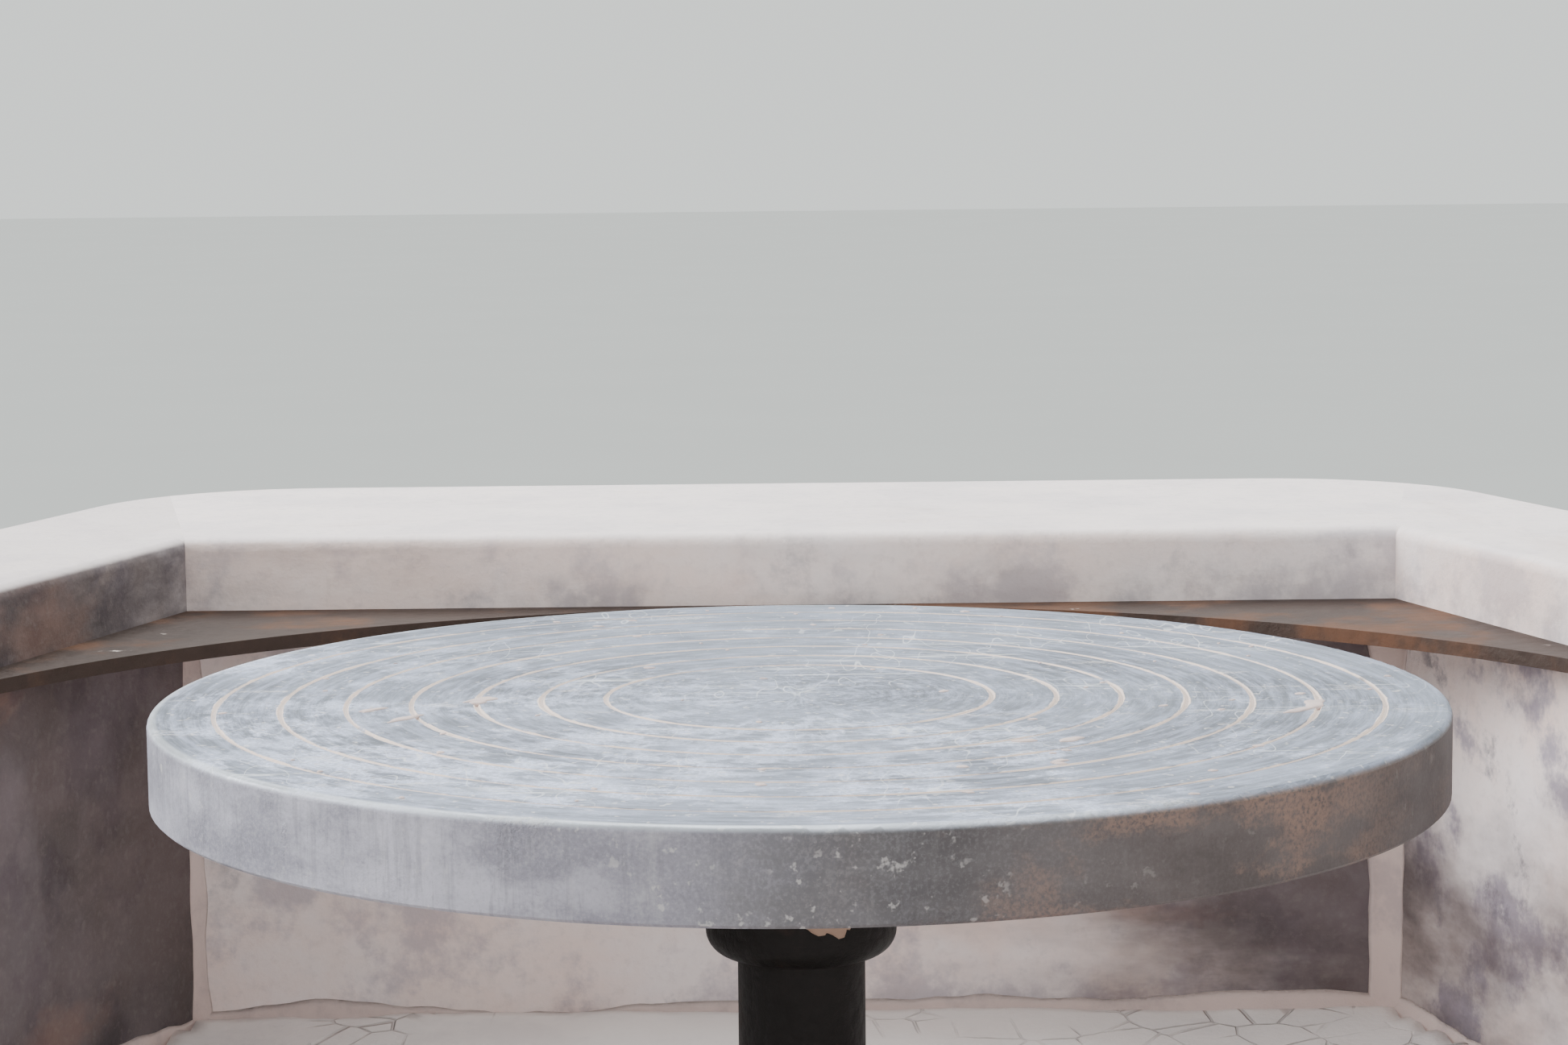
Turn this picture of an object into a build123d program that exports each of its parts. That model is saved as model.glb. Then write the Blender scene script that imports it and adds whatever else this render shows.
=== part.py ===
from build123d import *
import math
import os

# Potter's kick wheel: an aluminium wheel head on a steel shaft, a timber splash tray that is high
# at the back and sides and low at the front, a bolted timber frame with a bench seat, and a
# concrete flywheel that is kicked round by foot.
# Millimetres. +Z is up, +Y points away from the potter, and the origin is on the shaft's axis
# at floor level.

# ---- Driving dimensions -----------------------------------------------------------------------
HEAD_TOP = 820.0            # height of the throwing surface above the floor
HEAD_R = 150.0
HEAD_T = 20.0
HEAD_TOP_ROUND = 1.5
HEAD_BOTTOM_CHAMFER = 0.7
GROOVE_PITCH = HEAD_R / 10  # guide rings turned into the throwing surface
GROOVE_COUNT = 7
FIRST_GROOVE_R = 45.0
GROOVE_WIDTH = 1.3
GROOVE_DEPTH = 0.6
HUB_R = 22.5                # the boss that clamps the head on the shaft
HUB_DROP = 61.0             # from the throwing surface to the boss's lower end
HUB_ROUND = 6.0
HUB_FLANGE_R = 55.0
HUB_FLANGE_T = 10.0
HUB_SCREW_PCD_R = 40.0
HUB_SCREW_INTO_HEAD = 12.0
HUB_SCREW_UP = 20.0         # height of the hub's set screws over its lower end
SOCKET_HEAD_R = 6.5         # M8 socket-head screws
SOCKET_HEAD_H = 8.0
SOCKET_ACROSS = 6.0
SOCKET_DEPTH = 4.0
GRUB_SOCKET_DEPTH = 3.0
M6_R = 3.0
SHAFT_R = 15.0
SLIP_FIT = 0.02             # radial room between the shaft and what is clamped on it
RUN_FIT = 0.05              # radial room in a plain bearing
PAST = 1.0                  # how far a cutting shape runs past the faces that it cuts

TRAY_INNER = 254.0          # from the axis to the inner face of every wall
WALL_T = 22.0
RIM_ABOVE_HEAD = 7.0        # the rim stands just above the throwing surface
RIM_T = 22.0
RIM_BACK_WIDTH = 145.0      # a shelf for tools behind the head
RIM_SIDE_WIDTH = 73.0
RIM_CORNER_R = 75.0
RIM_END_R = 30.0
RIM_ROUND = 4.0
LEDGE_T = 4.0
LEDGE_R = 250.0             # round opening in the ledge under the rim
TRAY_DEPTH = 148.0          # from the throwing surface to the tray's floor
TRAY_FLOOR_T = 18.0
FRONT_DROP = 70.0           # how far the front walls stand below the throwing surface
CAPPING_T = 10.0
CAPPING_INSIDE = 3.0        # the capping's overhang inside and outside the front walls
CAPPING_OUTSIDE = 6.0
CLEAT_T = 22.0
CLEAT_LEG = 38.0
BRACKET_T = 24.0
BRACKET_H = 100.0
BRACKET_X = 115.0
BRACKET_TOE = 18.0          # a bracket's thickness at its two tips
UPSTAND_R = 26.0            # pipe round the shaft's hole that keeps slip out of the bearing
UPSTAND_WALL = 4.0
UPSTAND_H = 32.0
UPSTAND_FLANGE_R = 46.0
UPSTAND_FLANGE_T = 4.0
SLINGER_R = 41.0            # the cap on the shaft that covers the upstand pipe
SLINGER_WALL = 5.0
SLINGER_SKIRT = 12.0        # how far the cap's skirt hangs down outside the pipe
SLINGER_OVER_PIPE = 14.0
SLINGER_NECK_R = 22.0
SLINGER_NECK_H = 10.0
SLINGER_ROUND = 3.0

POST = 60.0                 # square legs
RAIL_T = 45.0               # thickness of every rail
POST_X = 395.0              # middle of the legs, either side
BACK_LEG_Y = 165.0
MIDDLE_LEG_Y = -165.0
SEAT_LEG_Y = -610.0
RAIL_OUT = POST_X - POST / 2
RAIL_IN = RAIL_OUT - RAIL_T
UPPER_RAIL_H = 95.0
STRETCHER_Z = 240.0
STRETCHER_H = 70.0
BASE_RAIL_H = 70.0
RAIL_FRONT_Y = SEAT_LEG_Y - POST / 2
BASE_RAIL_BACK_Y = 420.0
UPPER_RAIL_BACK_Y = 290.0
BEAM_W = 120.0
BEARING_DROP = 21.0         # from the beam's underside to the upper bearing's balls
COLLAR_SCREW_DROP = 19.5    # from the balls down to the inner ring's set screws
JOIST_W = 45.0
JOIST_Y = 200.0
BASE_CROSS_BACK_Y = 375.0
BASE_CROSS_FRONT_Y = -560.0
TIMBER_ROUND = 2.5

SEAT_TOP = HEAD_TOP - 70.0
SEAT_T = 32.0
SEAT_DEPTH = 280.0
SEAT_HALF_WIDTH = 432.0
SEAT_DISH = 9.0
SEAT_DISH_R = 170.0
SEAT_DISH_FORWARD = 10.0
SEAT_CORNER_R = 30.0
SEAT_TOP_ROUND = 5.0
SEAT_CLEAT_INSET = 12.0
BATTEN_T = 32.0
BATTEN_YS = (SEAT_LEG_Y - 105.0, SEAT_LEG_Y + 60.0)

FOOTREST_TILT = 14.0
FOOTREST_LENGTH = 230.0
FOOTREST_W = 130.0
FOOTREST_T = 20.0
FOOTREST_Y = -420.0
WEDGE_FROM = 60.0           # the wedge under a footrest, along its slope
WEDGE_TO = 205.0
WEDGE_GAP = 0.3             # under the footrest
REST_GAP = 0.2              # over the stretcher

FLYWHEEL_BOTTOM = 125.0
FLYWHEEL_T = 70.0
FLYWHEEL_R = 322.0
BAND_T = 3.0
TREAD_IN_R = 215.0
TREAD_OUT_R = 310.0
TREAD_T = 4.0
FLY_CENTRE_R = 20.0
BAND_STANDS_OUT = 2.0       # above and below the disc
FLY_FLANGE_R = 95.0
FLY_FLANGE_T = 10.0
FLY_BOSS_R = 32.0
FLY_BOSS_H = 50.0
CLAMP_PLATE_T = 8.0
FLY_BOLT_PCD_R = 70.0
FLY_SCREW_UP = 36.0
M8_R = 4.0
M8_CLEAR = 0.2              # radial room in a hole that a screw passes through
M12_CLEAR = 0.3
DISC_CLEAR = 0.5
M12_R = 6.0
M12_ACROSS = 18.0
M12_HEAD_H = 7.5
M12_NUT_H = 10.0
M12_TAIL = 13.0             # how far a bolt stands out below its plate
KEY_W = 8.0
KEY_LENGTH = 40.0
KEYWAY_W = 8.0              # across the joint of shaft and boss

BOLT_R = 5.0                # M10 coach bolts and coach screws
HOLE_R = 5.2
M10_ACROSS = 16.0
M10_HEAD_H = 6.5
M10_NUT_H = 8.0
WASHER_T = 2.0
SCREW_WASHER_R = 10.5
NUT_WASHER_R = 11.0
BEARING_SCREW_BITE = 50.0   # length of a coach screw under its washer
DOME_R = 11.5               # a coach bolt's head
DOME_H = 5.5
DOME_ROUND = 4.5
BOLT_TAIL = 13.0

# ---- Levels worked out from the driving dimensions --------------------------------------------
HEAD_BOTTOM = HEAD_TOP - HEAD_T
HUB_BOTTOM = HEAD_TOP - HUB_DROP
HUB_SEAT = HEAD_BOTTOM - HUB_FLANGE_T
RIM_TOP = HEAD_TOP + RIM_ABOVE_HEAD
RIM_BOTTOM = RIM_TOP - RIM_T
WALL_TOP = RIM_BOTTOM - LEDGE_T
WALL_OUTER = TRAY_INNER + WALL_T
FRONT_TOP = HEAD_TOP - FRONT_DROP
TRAY_FLOOR_TOP = HEAD_TOP - TRAY_DEPTH
TRAY_FLOOR_BOTTOM = TRAY_FLOOR_TOP - TRAY_FLOOR_T
UPPER_RAIL_Z = TRAY_FLOOR_BOTTOM - UPPER_RAIL_H
BEAM_BOTTOM = TRAY_FLOOR_BOTTOM - RAIL_T
SEAT_BOTTOM = SEAT_TOP - SEAT_T
FLYWHEEL_TOP = FLYWHEEL_BOTTOM + FLYWHEEL_T

# The tray is a regular pentagon with its point, at the potter's side, cut off by a short front
# wall. Each side has the compass angle of its outward normal, anticlockwise from the back.
SIDES = [
    ("back", 90),
    ("left", 162),
    ("front_left", 234),
    ("front", 270),
    ("front_right", 306),
    ("right", 18),
]
HIGH_SIDES = ("back", "left", "right")

parts = {}


# ---- Helpers ----------------------------------------------------------------------------------
def block(x, y, z, ease=TIMBER_ROUND):
    """A sawn timber between the given (low, high) limits, its edges eased."""
    size = [limits[1] - limits[0] for limits in (x, y, z)]
    middle = [(limits[0] + limits[1]) / 2 for limits in (x, y, z)]
    body = Pos(*middle) * Box(*size)
    return fillet(body.edges(), ease) if ease else body


def rod(r, z, x=0.0, y=0.0):
    """A round bar standing between two heights."""
    return Pos(x, y, (z[0] + z[1]) / 2) * Cylinder(r, z[1] - z[0])


def ring(outer, inner, z):
    """A round tube standing between two heights."""
    return rod(outer, z) - rod(inner, (z[0] - 1, z[1] + 1))


def rod_x(r, x, y, z):
    """A round bar lying along X between two limits."""
    return Pos((x[0] + x[1]) / 2, y, z) * Rot(0, 90, 0) * Cylinder(r, x[1] - x[0])


def hexagon(across_flats, z, x=0.0, y=0.0, turn=0.0):
    """A hexagonal prism standing between two heights."""
    face = RegularPolygon(across_flats / 2, 6, major_radius=False)
    return Pos(x, y, z[0]) * Rot(0, 0, turn) * extrude(face, z[1] - z[0])


def group(solids):
    """Several separate solids that share one node."""
    return Compound(list(solids))


def both_sides(shape):
    """A piece and its mirror image across the wheel's middle plane."""
    return group([*shape.solids(), *mirror(shape, about=Plane.YZ).solids()])


def around(shape, count, start=0.0):
    """Copies of a piece spaced evenly round the shaft's axis."""
    return [Rot(0, 0, start + 360 / count * i) * shape for i in range(count)]


def corners(reach):
    """The tray outline's corners at one distance from the axis, each after its side."""
    found = []
    for i, (_, angle) in enumerate(SIDES):
        a = math.radians(angle)
        b = math.radians(SIDES[(i + 1) % len(SIDES)][1])
        det = math.cos(a) * math.sin(b) - math.sin(a) * math.cos(b)
        x = reach * (math.sin(b) - math.sin(a)) / det
        found.append(Vector(x, reach * (math.cos(a) - math.cos(b)) / det))
    return found


def prism(points, z):
    """A straight-sided block standing between two heights on a closed outline."""
    return Pos(0, 0, z[0]) * extrude(make_face(Polyline(*points, close=True)), z[1] - z[0])


def mitred(inner, outer, side, z):
    """One side's board, mitred at both of its corners."""
    near, far = corners(inner), corners(outer)
    i = [name for name, _ in SIDES].index(side)
    return prism([near[i - 1], near[i], far[i], far[i - 1]], z)


# ---- Wheel head and its hub -------------------------------------------------------------------
def wheel_head():
    disc = rod(HEAD_R, (HEAD_BOTTOM, HEAD_TOP))
    disc = fillet(disc.edges().sort_by(Axis.Z)[-1], HEAD_TOP_ROUND)
    disc = chamfer(disc.edges().filter_by(GeomType.CIRCLE).sort_by(Axis.Z)[0], HEAD_BOTTOM_CHAMFER)
    for i in range(GROOVE_COUNT):
        r = FIRST_GROOVE_R + GROOVE_PITCH * i
        outline = Polyline(
            (r - GROOVE_WIDTH / 2, HEAD_TOP + PAST / 5),
            (r + GROOVE_WIDTH / 2, HEAD_TOP + PAST / 5),
            (r + GROOVE_WIDTH / 2, HEAD_TOP),
            (r + GROOVE_WIDTH / 5, HEAD_TOP - GROOVE_DEPTH),
            (r - GROOVE_WIDTH / 5, HEAD_TOP - GROOVE_DEPTH),
            (r - GROOVE_WIDTH / 2, HEAD_TOP),
            close=True,
        )
        disc -= revolve(Plane.XZ * make_face(outline), Axis.Z)
    hole = rod(M8_R, (HEAD_BOTTOM - PAST, HEAD_BOTTOM + HUB_SCREW_INTO_HEAD + PAST), x=HUB_SCREW_PCD_R)
    for cut in around(hole, 4, 45):
        disc -= cut
    return disc


def head_hub():
    body = rod(HUB_FLANGE_R, (HUB_SEAT, HEAD_BOTTOM)) + rod(HUB_R, (HUB_BOTTOM, HUB_SEAT))
    body = fillet(body.edges().filter_by(GeomType.CIRCLE).sort_by(Axis.Z)[0], HUB_ROUND)
    body -= rod(SHAFT_R + SLIP_FIT, (HUB_BOTTOM - PAST, HEAD_BOTTOM + PAST))
    hole = rod(M8_R + M8_CLEAR, (HUB_SEAT - PAST, HEAD_BOTTOM + PAST), x=HUB_SCREW_PCD_R)
    for cut in around(hole, 4, 45):
        body -= cut
    for turn in (0, 90):
        body -= Rot(0, 0, turn) * rod_x(M8_R, (SHAFT_R - PAST, HUB_R + PAST), 0, HUB_SCREW_Z)
    return body


def hub_screws():
    """Socket-head screws, their heads below, standing up through the flange into the head."""
    low = HUB_SEAT - SOCKET_HEAD_H
    head = rod(SOCKET_HEAD_R, (low, HUB_SEAT)) - hexagon(SOCKET_ACROSS, (low - PAST, low + SOCKET_DEPTH))
    screw = head + rod(M8_R - SLIP_FIT, (HUB_SEAT, HEAD_BOTTOM + HUB_SCREW_INTO_HEAD))
    return group(around(Pos(HUB_SCREW_PCD_R, 0, 0) * screw, 4, 45))


def grub_screw(r, x, z):
    """A set screw lying along X with a hexagon socket in its outer end."""
    body = rod_x(r, x, 0, z)
    socket = RegularPolygon(r / 2, 6, major_radius=False)
    return body - Pos(x[1] + SLIP_FIT, 0, z) * Rot(0, -90, 0) * extrude(socket, GRUB_SOCKET_DEPTH)


HUB_SCREW_Z = HUB_BOTTOM + HUB_SCREW_UP
BEARING_Z = BEAM_BOTTOM - BEARING_DROP
BEARING_SCREW_Z = BEARING_Z - COLLAR_SCREW_DROP
FLY_SCREW_Z = FLYWHEEL_TOP + FLY_FLANGE_T + FLY_SCREW_UP


def set_screws():
    found = []
    for turn in (0, 90):
        screw = grub_screw(M8_R - SLIP_FIT, (SHAFT_R + RUN_FIT, HUB_R - 1), HUB_SCREW_Z)
        found.append(Rot(0, 0, turn) * screw)
    for turn in (0, 120):
        screw = grub_screw(M6_R - SLIP_FIT, (SHAFT_R + RUN_FIT, INNER_RING_R), BEARING_SCREW_Z)
        found.append(Rot(0, 0, turn) * screw)
    screw = grub_screw(M8_R - SLIP_FIT, (SHAFT_R + RUN_FIT, FLY_BOSS_R - 3), FLY_SCREW_Z)
    found.append(Rot(0, 0, 90) * screw)
    return group(found)


# ---- Shaft, thrust ball and water slinger -----------------------------------------------------
SHAFT_FOOT = 70.0
BALL_R = 9.0
BALL_Z = 66.0
BALL_ROOM = 0.03
KEY_FROM_FLANGE = 5.0
KEY_Z = FLYWHEEL_TOP + FLY_FLANGE_T + KEY_FROM_FLANGE


def wheel_shaft():
    body = rod(SHAFT_R, (SHAFT_FOOT, HEAD_BOTTOM - 1))
    body = chamfer(body.edges().filter_by(GeomType.CIRCLE), 1.0)
    body -= Pos(0, 0, BALL_Z) * Sphere(BALL_R + BALL_ROOM)
    keyway = Pos(SHAFT_R, 0, KEY_Z + KEY_LENGTH / 2) * Box(KEYWAY_W, KEY_W, KEY_LENGTH)
    return body - keyway


def flywheel_key():
    size = (KEYWAY_W - 1, KEY_W - 2 * SLIP_FIT, KEY_LENGTH - 2 * SLIP_FIT)
    return Pos(SHAFT_R - 0.5, 0, KEY_Z + KEY_LENGTH / 2) * Box(*size)


UPSTAND_TOP = TRAY_FLOOR_TOP + UPSTAND_H
SLINGER_TOP = UPSTAND_TOP + SLINGER_OVER_PIPE


def water_slinger():
    under = SLINGER_TOP - SLINGER_WALL
    skirt = ring(SLINGER_R, SLINGER_R - SLINGER_WALL, (UPSTAND_TOP - SLINGER_SKIRT, under))
    cover = rod(SLINGER_R, (under, SLINGER_TOP))
    neck = rod(SLINGER_NECK_R, (SLINGER_TOP, SLINGER_TOP + SLINGER_NECK_H))
    body = skirt + cover + neck
    rims = body.edges().filter_by(GeomType.CIRCLE).group_by(Axis.Z)[-1]
    body = fillet(rims, SLINGER_ROUND)
    return body - rod(SHAFT_R + SLIP_FIT, (UPSTAND_TOP, SLINGER_TOP + SLINGER_NECK_H + PAST))


# ---- Flywheel ---------------------------------------------------------------------------------
def fly_bolt_spots(r, z):
    return around(rod(r, z, x=FLY_BOLT_PCD_R), 6, 30)


def flywheel_disc():
    body = rod(FLYWHEEL_R, (FLYWHEEL_BOTTOM, FLYWHEEL_TOP))
    body = fillet(body.edges().filter_by(GeomType.CIRCLE), 2.0)
    body -= rod(FLY_CENTRE_R, (FLYWHEEL_BOTTOM - PAST, FLYWHEEL_TOP + PAST))
    for hole in fly_bolt_spots(M12_R + DISC_CLEAR, (FLYWHEEL_BOTTOM - PAST, FLYWHEEL_TOP + PAST)):
        body -= hole
    return body


def flywheel_band():
    level = (FLYWHEEL_BOTTOM - BAND_STANDS_OUT, FLYWHEEL_TOP + BAND_STANDS_OUT)
    body = ring(FLYWHEEL_R + BAND_T, FLYWHEEL_R, level)
    outer = [e for e in body.edges().filter_by(GeomType.CIRCLE) if e.radius > FLYWHEEL_R + 1]
    return fillet(outer, 1.0)


def flywheel_tread():
    body = ring(TREAD_OUT_R, TREAD_IN_R, (FLYWHEEL_TOP, FLYWHEEL_TOP + TREAD_T))
    top = body.edges().filter_by(GeomType.CIRCLE).group_by(Axis.Z)[-1]
    return fillet(top, 1.5)


def flywheel_hub():
    flange_top = FLYWHEEL_TOP + FLY_FLANGE_T
    body = rod(FLY_FLANGE_R, (FLYWHEEL_TOP, flange_top))
    body += rod(FLY_BOSS_R, (flange_top, flange_top + FLY_BOSS_H))
    root = [
        e
        for e in body.edges().filter_by(GeomType.CIRCLE)
        if abs(e.center().Z - flange_top) < 0.01 and e.radius < FLY_BOSS_R + 1
    ]
    body = fillet(root, 5.0)
    boss_top = flange_top + FLY_BOSS_H
    body -= rod(SHAFT_R + SLIP_FIT, (FLYWHEEL_TOP - PAST, boss_top + PAST))
    body -= Pos(SHAFT_R, 0, flange_top + FLY_BOSS_H / 2) * Box(KEYWAY_W, KEY_W, FLY_BOSS_H + 2 * PAST)
    for hole in fly_bolt_spots(M12_R + M12_CLEAR, (FLYWHEEL_TOP - PAST, flange_top + PAST)):
        body -= hole
    return body - Rot(0, 0, 90) * rod_x(M8_R, (SHAFT_R - PAST, FLY_BOSS_R + PAST), 0, FLY_SCREW_Z)


def flywheel_clamp_plate():
    low = FLYWHEEL_BOTTOM - CLAMP_PLATE_T
    body = ring(FLY_FLANGE_R, SHAFT_R + 1, (low, FLYWHEEL_BOTTOM))
    for hole in fly_bolt_spots(M12_R + M12_CLEAR, (low - PAST, FLYWHEEL_BOTTOM + PAST)):
        body -= hole
    return body


def flywheel_bolts():
    seat = FLYWHEEL_TOP + FLY_FLANGE_T
    low = FLYWHEEL_BOTTOM - CLAMP_PLATE_T
    bolt = hexagon(M12_ACROSS, (seat, seat + M12_HEAD_H), x=FLY_BOLT_PCD_R)
    bolt += rod(M12_R, (low - M12_TAIL, seat), x=FLY_BOLT_PCD_R)
    return group(around(bolt, 6, 30))


def flywheel_nuts():
    low = FLYWHEEL_BOTTOM - CLAMP_PLATE_T
    under = low - M12_NUT_H
    nut = hexagon(M12_ACROSS, (under, low), x=FLY_BOLT_PCD_R)
    nut -= rod(M12_R, (under - PAST, low + PAST), x=FLY_BOLT_PCD_R)
    return group(around(nut, 6, 30))


# ---- Upper bearing: a four-bolt flange unit under the bearing beam ------------------------------
BALL_PITCH_R = 23.3
BEARING_BALL_R = 4.76
BALL_COUNT = 9
OUTER_RING_R = 31.0
HOUSING_BOTTOM = BEAM_BOTTOM - 34.0
NIPPLE_Z = BEAM_BOTTOM - 24.0
HOUSING_FLANGE_T = 13.0
HOUSING_HALF = 54.0
HOUSING_HOLE = 41.5
HOUSING_CORNER_R = 16.0
HOUSING_HOLE_R = 5.75
BOSS_LOW_R = 37.0
BOSS_HIGH_R = 42.0
RACE_HALF_H = 9.5
OUTER_RACE_R = 26.6         # the outer ring's inner face
INNER_RING_R = 20.0
INNER_RING_DOWN = 23.0      # the inner ring's two ends, from the balls
INNER_RING_UP = 15.0
RACE_ROOM = 0.05
CAGE_OUT_R = 24.8
CAGE_IN_R = 21.8
CAGE_HALF_H = 5.8
POCKET_ROOM = 0.2
SEAL_OUT_R = 26.4
SEAL_IN_R = 20.3
SEAL_HALF_T = 0.6
SEAL_FROM_BALLS = 8.0
NIPPLE_R = 3.0
NIPPLE_CAP_R = 4.0
NIPPLE_TIP_R = 2.8


def housing_spots(make):
    return [Pos(sx * HOUSING_HOLE, sy * HOUSING_HOLE, 0) * make for sx in (-1, 1) for sy in (-1, 1)]


def bearing_housing():
    plate = extrude(RectangleRounded(2 * HOUSING_HALF, 2 * HOUSING_HALF, HOUSING_CORNER_R), HOUSING_FLANGE_T)
    body = Pos(0, 0, BEAM_BOTTOM - HOUSING_FLANGE_T) * plate
    boss_h = BEAM_BOTTOM - HOUSING_BOTTOM - HOUSING_FLANGE_T
    body += Pos(0, 0, HOUSING_BOTTOM + boss_h / 2) * Cone(BOSS_LOW_R, BOSS_HIGH_R, boss_h)
    body -= rod(OUTER_RING_R, (HOUSING_BOTTOM - PAST, BEAM_BOTTOM + PAST))
    for hole in housing_spots(rod(HOUSING_HOLE_R, (HOUSING_BOTTOM, BEAM_BOTTOM + PAST))):
        body -= hole
    return body - Pos(0, -40, NIPPLE_Z) * Rot(90, 0, 0) * Cylinder(NIPPLE_R, 24)


def grease_nipple():
    stem = Pos(0, -38, NIPPLE_Z) * Rot(90, 0, 0) * Cylinder(NIPPLE_R, 10)
    cap = Pos(0, -46, NIPPLE_Z) * Rot(90, 0, 0) * Cylinder(NIPPLE_CAP_R, 6)
    return stem + cap + Pos(0, -50.5, NIPPLE_Z) * Sphere(NIPPLE_TIP_R)


def race_groove(r):
    return Pos(0, 0, BEARING_Z) * Torus(BALL_PITCH_R, r)


def bearing_outer_ring():
    level = (BEARING_Z - RACE_HALF_H, BEARING_Z + RACE_HALF_H)
    body = ring(OUTER_RING_R - SLIP_FIT / 2, OUTER_RACE_R, level)
    return body - race_groove(BEARING_BALL_R + RACE_ROOM)


def bearing_inner_ring():
    level = (BEARING_Z - INNER_RING_DOWN, BEARING_Z + INNER_RING_UP)
    body = ring(INNER_RING_R, SHAFT_R + SLIP_FIT, level)
    body -= race_groove(BEARING_BALL_R + RACE_ROOM)
    for turn in (0, 120):
        body -= Rot(0, 0, turn) * rod_x(M6_R, (SHAFT_R - PAST, INNER_RING_R + PAST), 0, BEARING_SCREW_Z)
    return body


def ball_spots(r):
    return around(Pos(BALL_PITCH_R, 0, BEARING_Z) * Sphere(r), BALL_COUNT)


def bearing_cage():
    body = ring(CAGE_OUT_R, CAGE_IN_R, (BEARING_Z - CAGE_HALF_H, BEARING_Z + CAGE_HALF_H))
    pocket = rod_x(BEARING_BALL_R + POCKET_ROOM, (CAGE_IN_R - PAST, CAGE_OUT_R + PAST), 0, BEARING_Z)
    for cut in around(pocket, BALL_COUNT):
        body -= cut
    return body


def bearing_seals():
    levels = (BEARING_Z - SEAL_FROM_BALLS, BEARING_Z + SEAL_FROM_BALLS)
    return group(ring(SEAL_OUT_R, SEAL_IN_R, (z - SEAL_HALF_T, z + SEAL_HALF_T)) for z in levels)


# ---- Foot bearing: a bushed cup with a thrust ball under the shaft -----------------------------
FOOT_TOP = 88.0
FOOT_SCREW_R = 46.0
FOOT_PLATE_R = 60.0
FOOT_PLATE_T = 12.0
FOOT_CUP_R = 31.0
FOOT_BUSH_R = 20.0
FOOT_BUSH_UP = 31.0         # the bush's lower end, over the beam
FOOT_ROOT_ROUND = 4.0


def foot_bearing_housing():
    plate_top = RAIL_T + FOOT_PLATE_T
    body = rod(FOOT_PLATE_R, (RAIL_T, plate_top)) + rod(FOOT_CUP_R, (plate_top, FOOT_TOP))
    root = [
        e
        for e in body.edges().filter_by(GeomType.CIRCLE)
        if abs(e.center().Z - plate_top) < 0.01 and e.radius < FOOT_CUP_R + 1
    ]
    body = fillet(root, FOOT_ROOT_ROUND)
    body -= rod(FOOT_BUSH_R, (BALL_Z - BALL_R, FOOT_TOP + PAST))
    for hole in around(rod(HOLE_R, (RAIL_T - PAST, plate_top + PAST), x=FOOT_SCREW_R), 4, 45):
        body -= hole
    return body


def coach_screw(length):
    """A hexagon-headed wood screw and its washer: the head is above z = 0, the shank below."""
    washer = rod(SCREW_WASHER_R, (0, WASHER_T)) - rod(BOLT_R, (-PAST, WASHER_T + PAST))
    head = hexagon(M10_ACROSS, (WASHER_T, WASHER_T + M10_HEAD_H))
    return washer + head + rod(BOLT_R, (-length, WASHER_T))


def bearing_screws():
    down = Pos(0, 0, RAIL_T + FOOT_PLATE_T) * coach_screw(BEARING_SCREW_BITE)
    found = [Rot(0, 0, 45 + 90 * i) * Pos(FOOT_SCREW_R, 0, 0) * down for i in range(4)]
    up = Pos(0, 0, BEAM_BOTTOM - HOUSING_FLANGE_T) * Rot(180, 0, 0) * coach_screw(BEARING_SCREW_BITE)
    return group([*found, *housing_spots(up)])


# ---- Splash tray --------------------------------------------------------------------------------
DRAIN_X, DRAIN_Y = -130.0, 90.0
DRAIN_R = 13.0
DRAIN_WALL = 2.0
DRAIN_BELOW = 40.0          # how far the tube hangs under the tray's floor
DRAIN_LIP_R = 24.0
DRAIN_LIP_T = 3.0
PLUG_DEPTH = 16.0
PLUG_TIP_R = 10.5
PLUG_CAP_R = 18.0
PLUG_CAP_H = 7.0
PLUG_CAP_ROUND = 2.5
PLUG_LOOP_R = 9.0
PLUG_LOOP_WIRE = 2.2
PLUG_LOOP_UP = 13.0
HOLE_ROOM = 0.1             # round a pipe that goes through the tray's floor
SIDE_ANGLE = 18.0           # how far the two side walls' normals lean back from the X axis
BACK_KNEE_SHORT = 18.0      # how far a bracket stops short of the rim's edge
SIDE_KNEE_SHORT = 8.0
LIFT_GAP = 0.3              # room round the loose plug


def rim_corner(side):
    """Where the back rim's outer edge meets a side rim's, at the right (+1) or the left (-1)."""
    angle = math.radians(SIDE_ANGLE)
    back = TRAY_INNER + RIM_BACK_WIDTH
    return Vector(side * (TRAY_INNER + RIM_SIDE_WIDTH - back * math.sin(angle)) / math.cos(angle), back)


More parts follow.
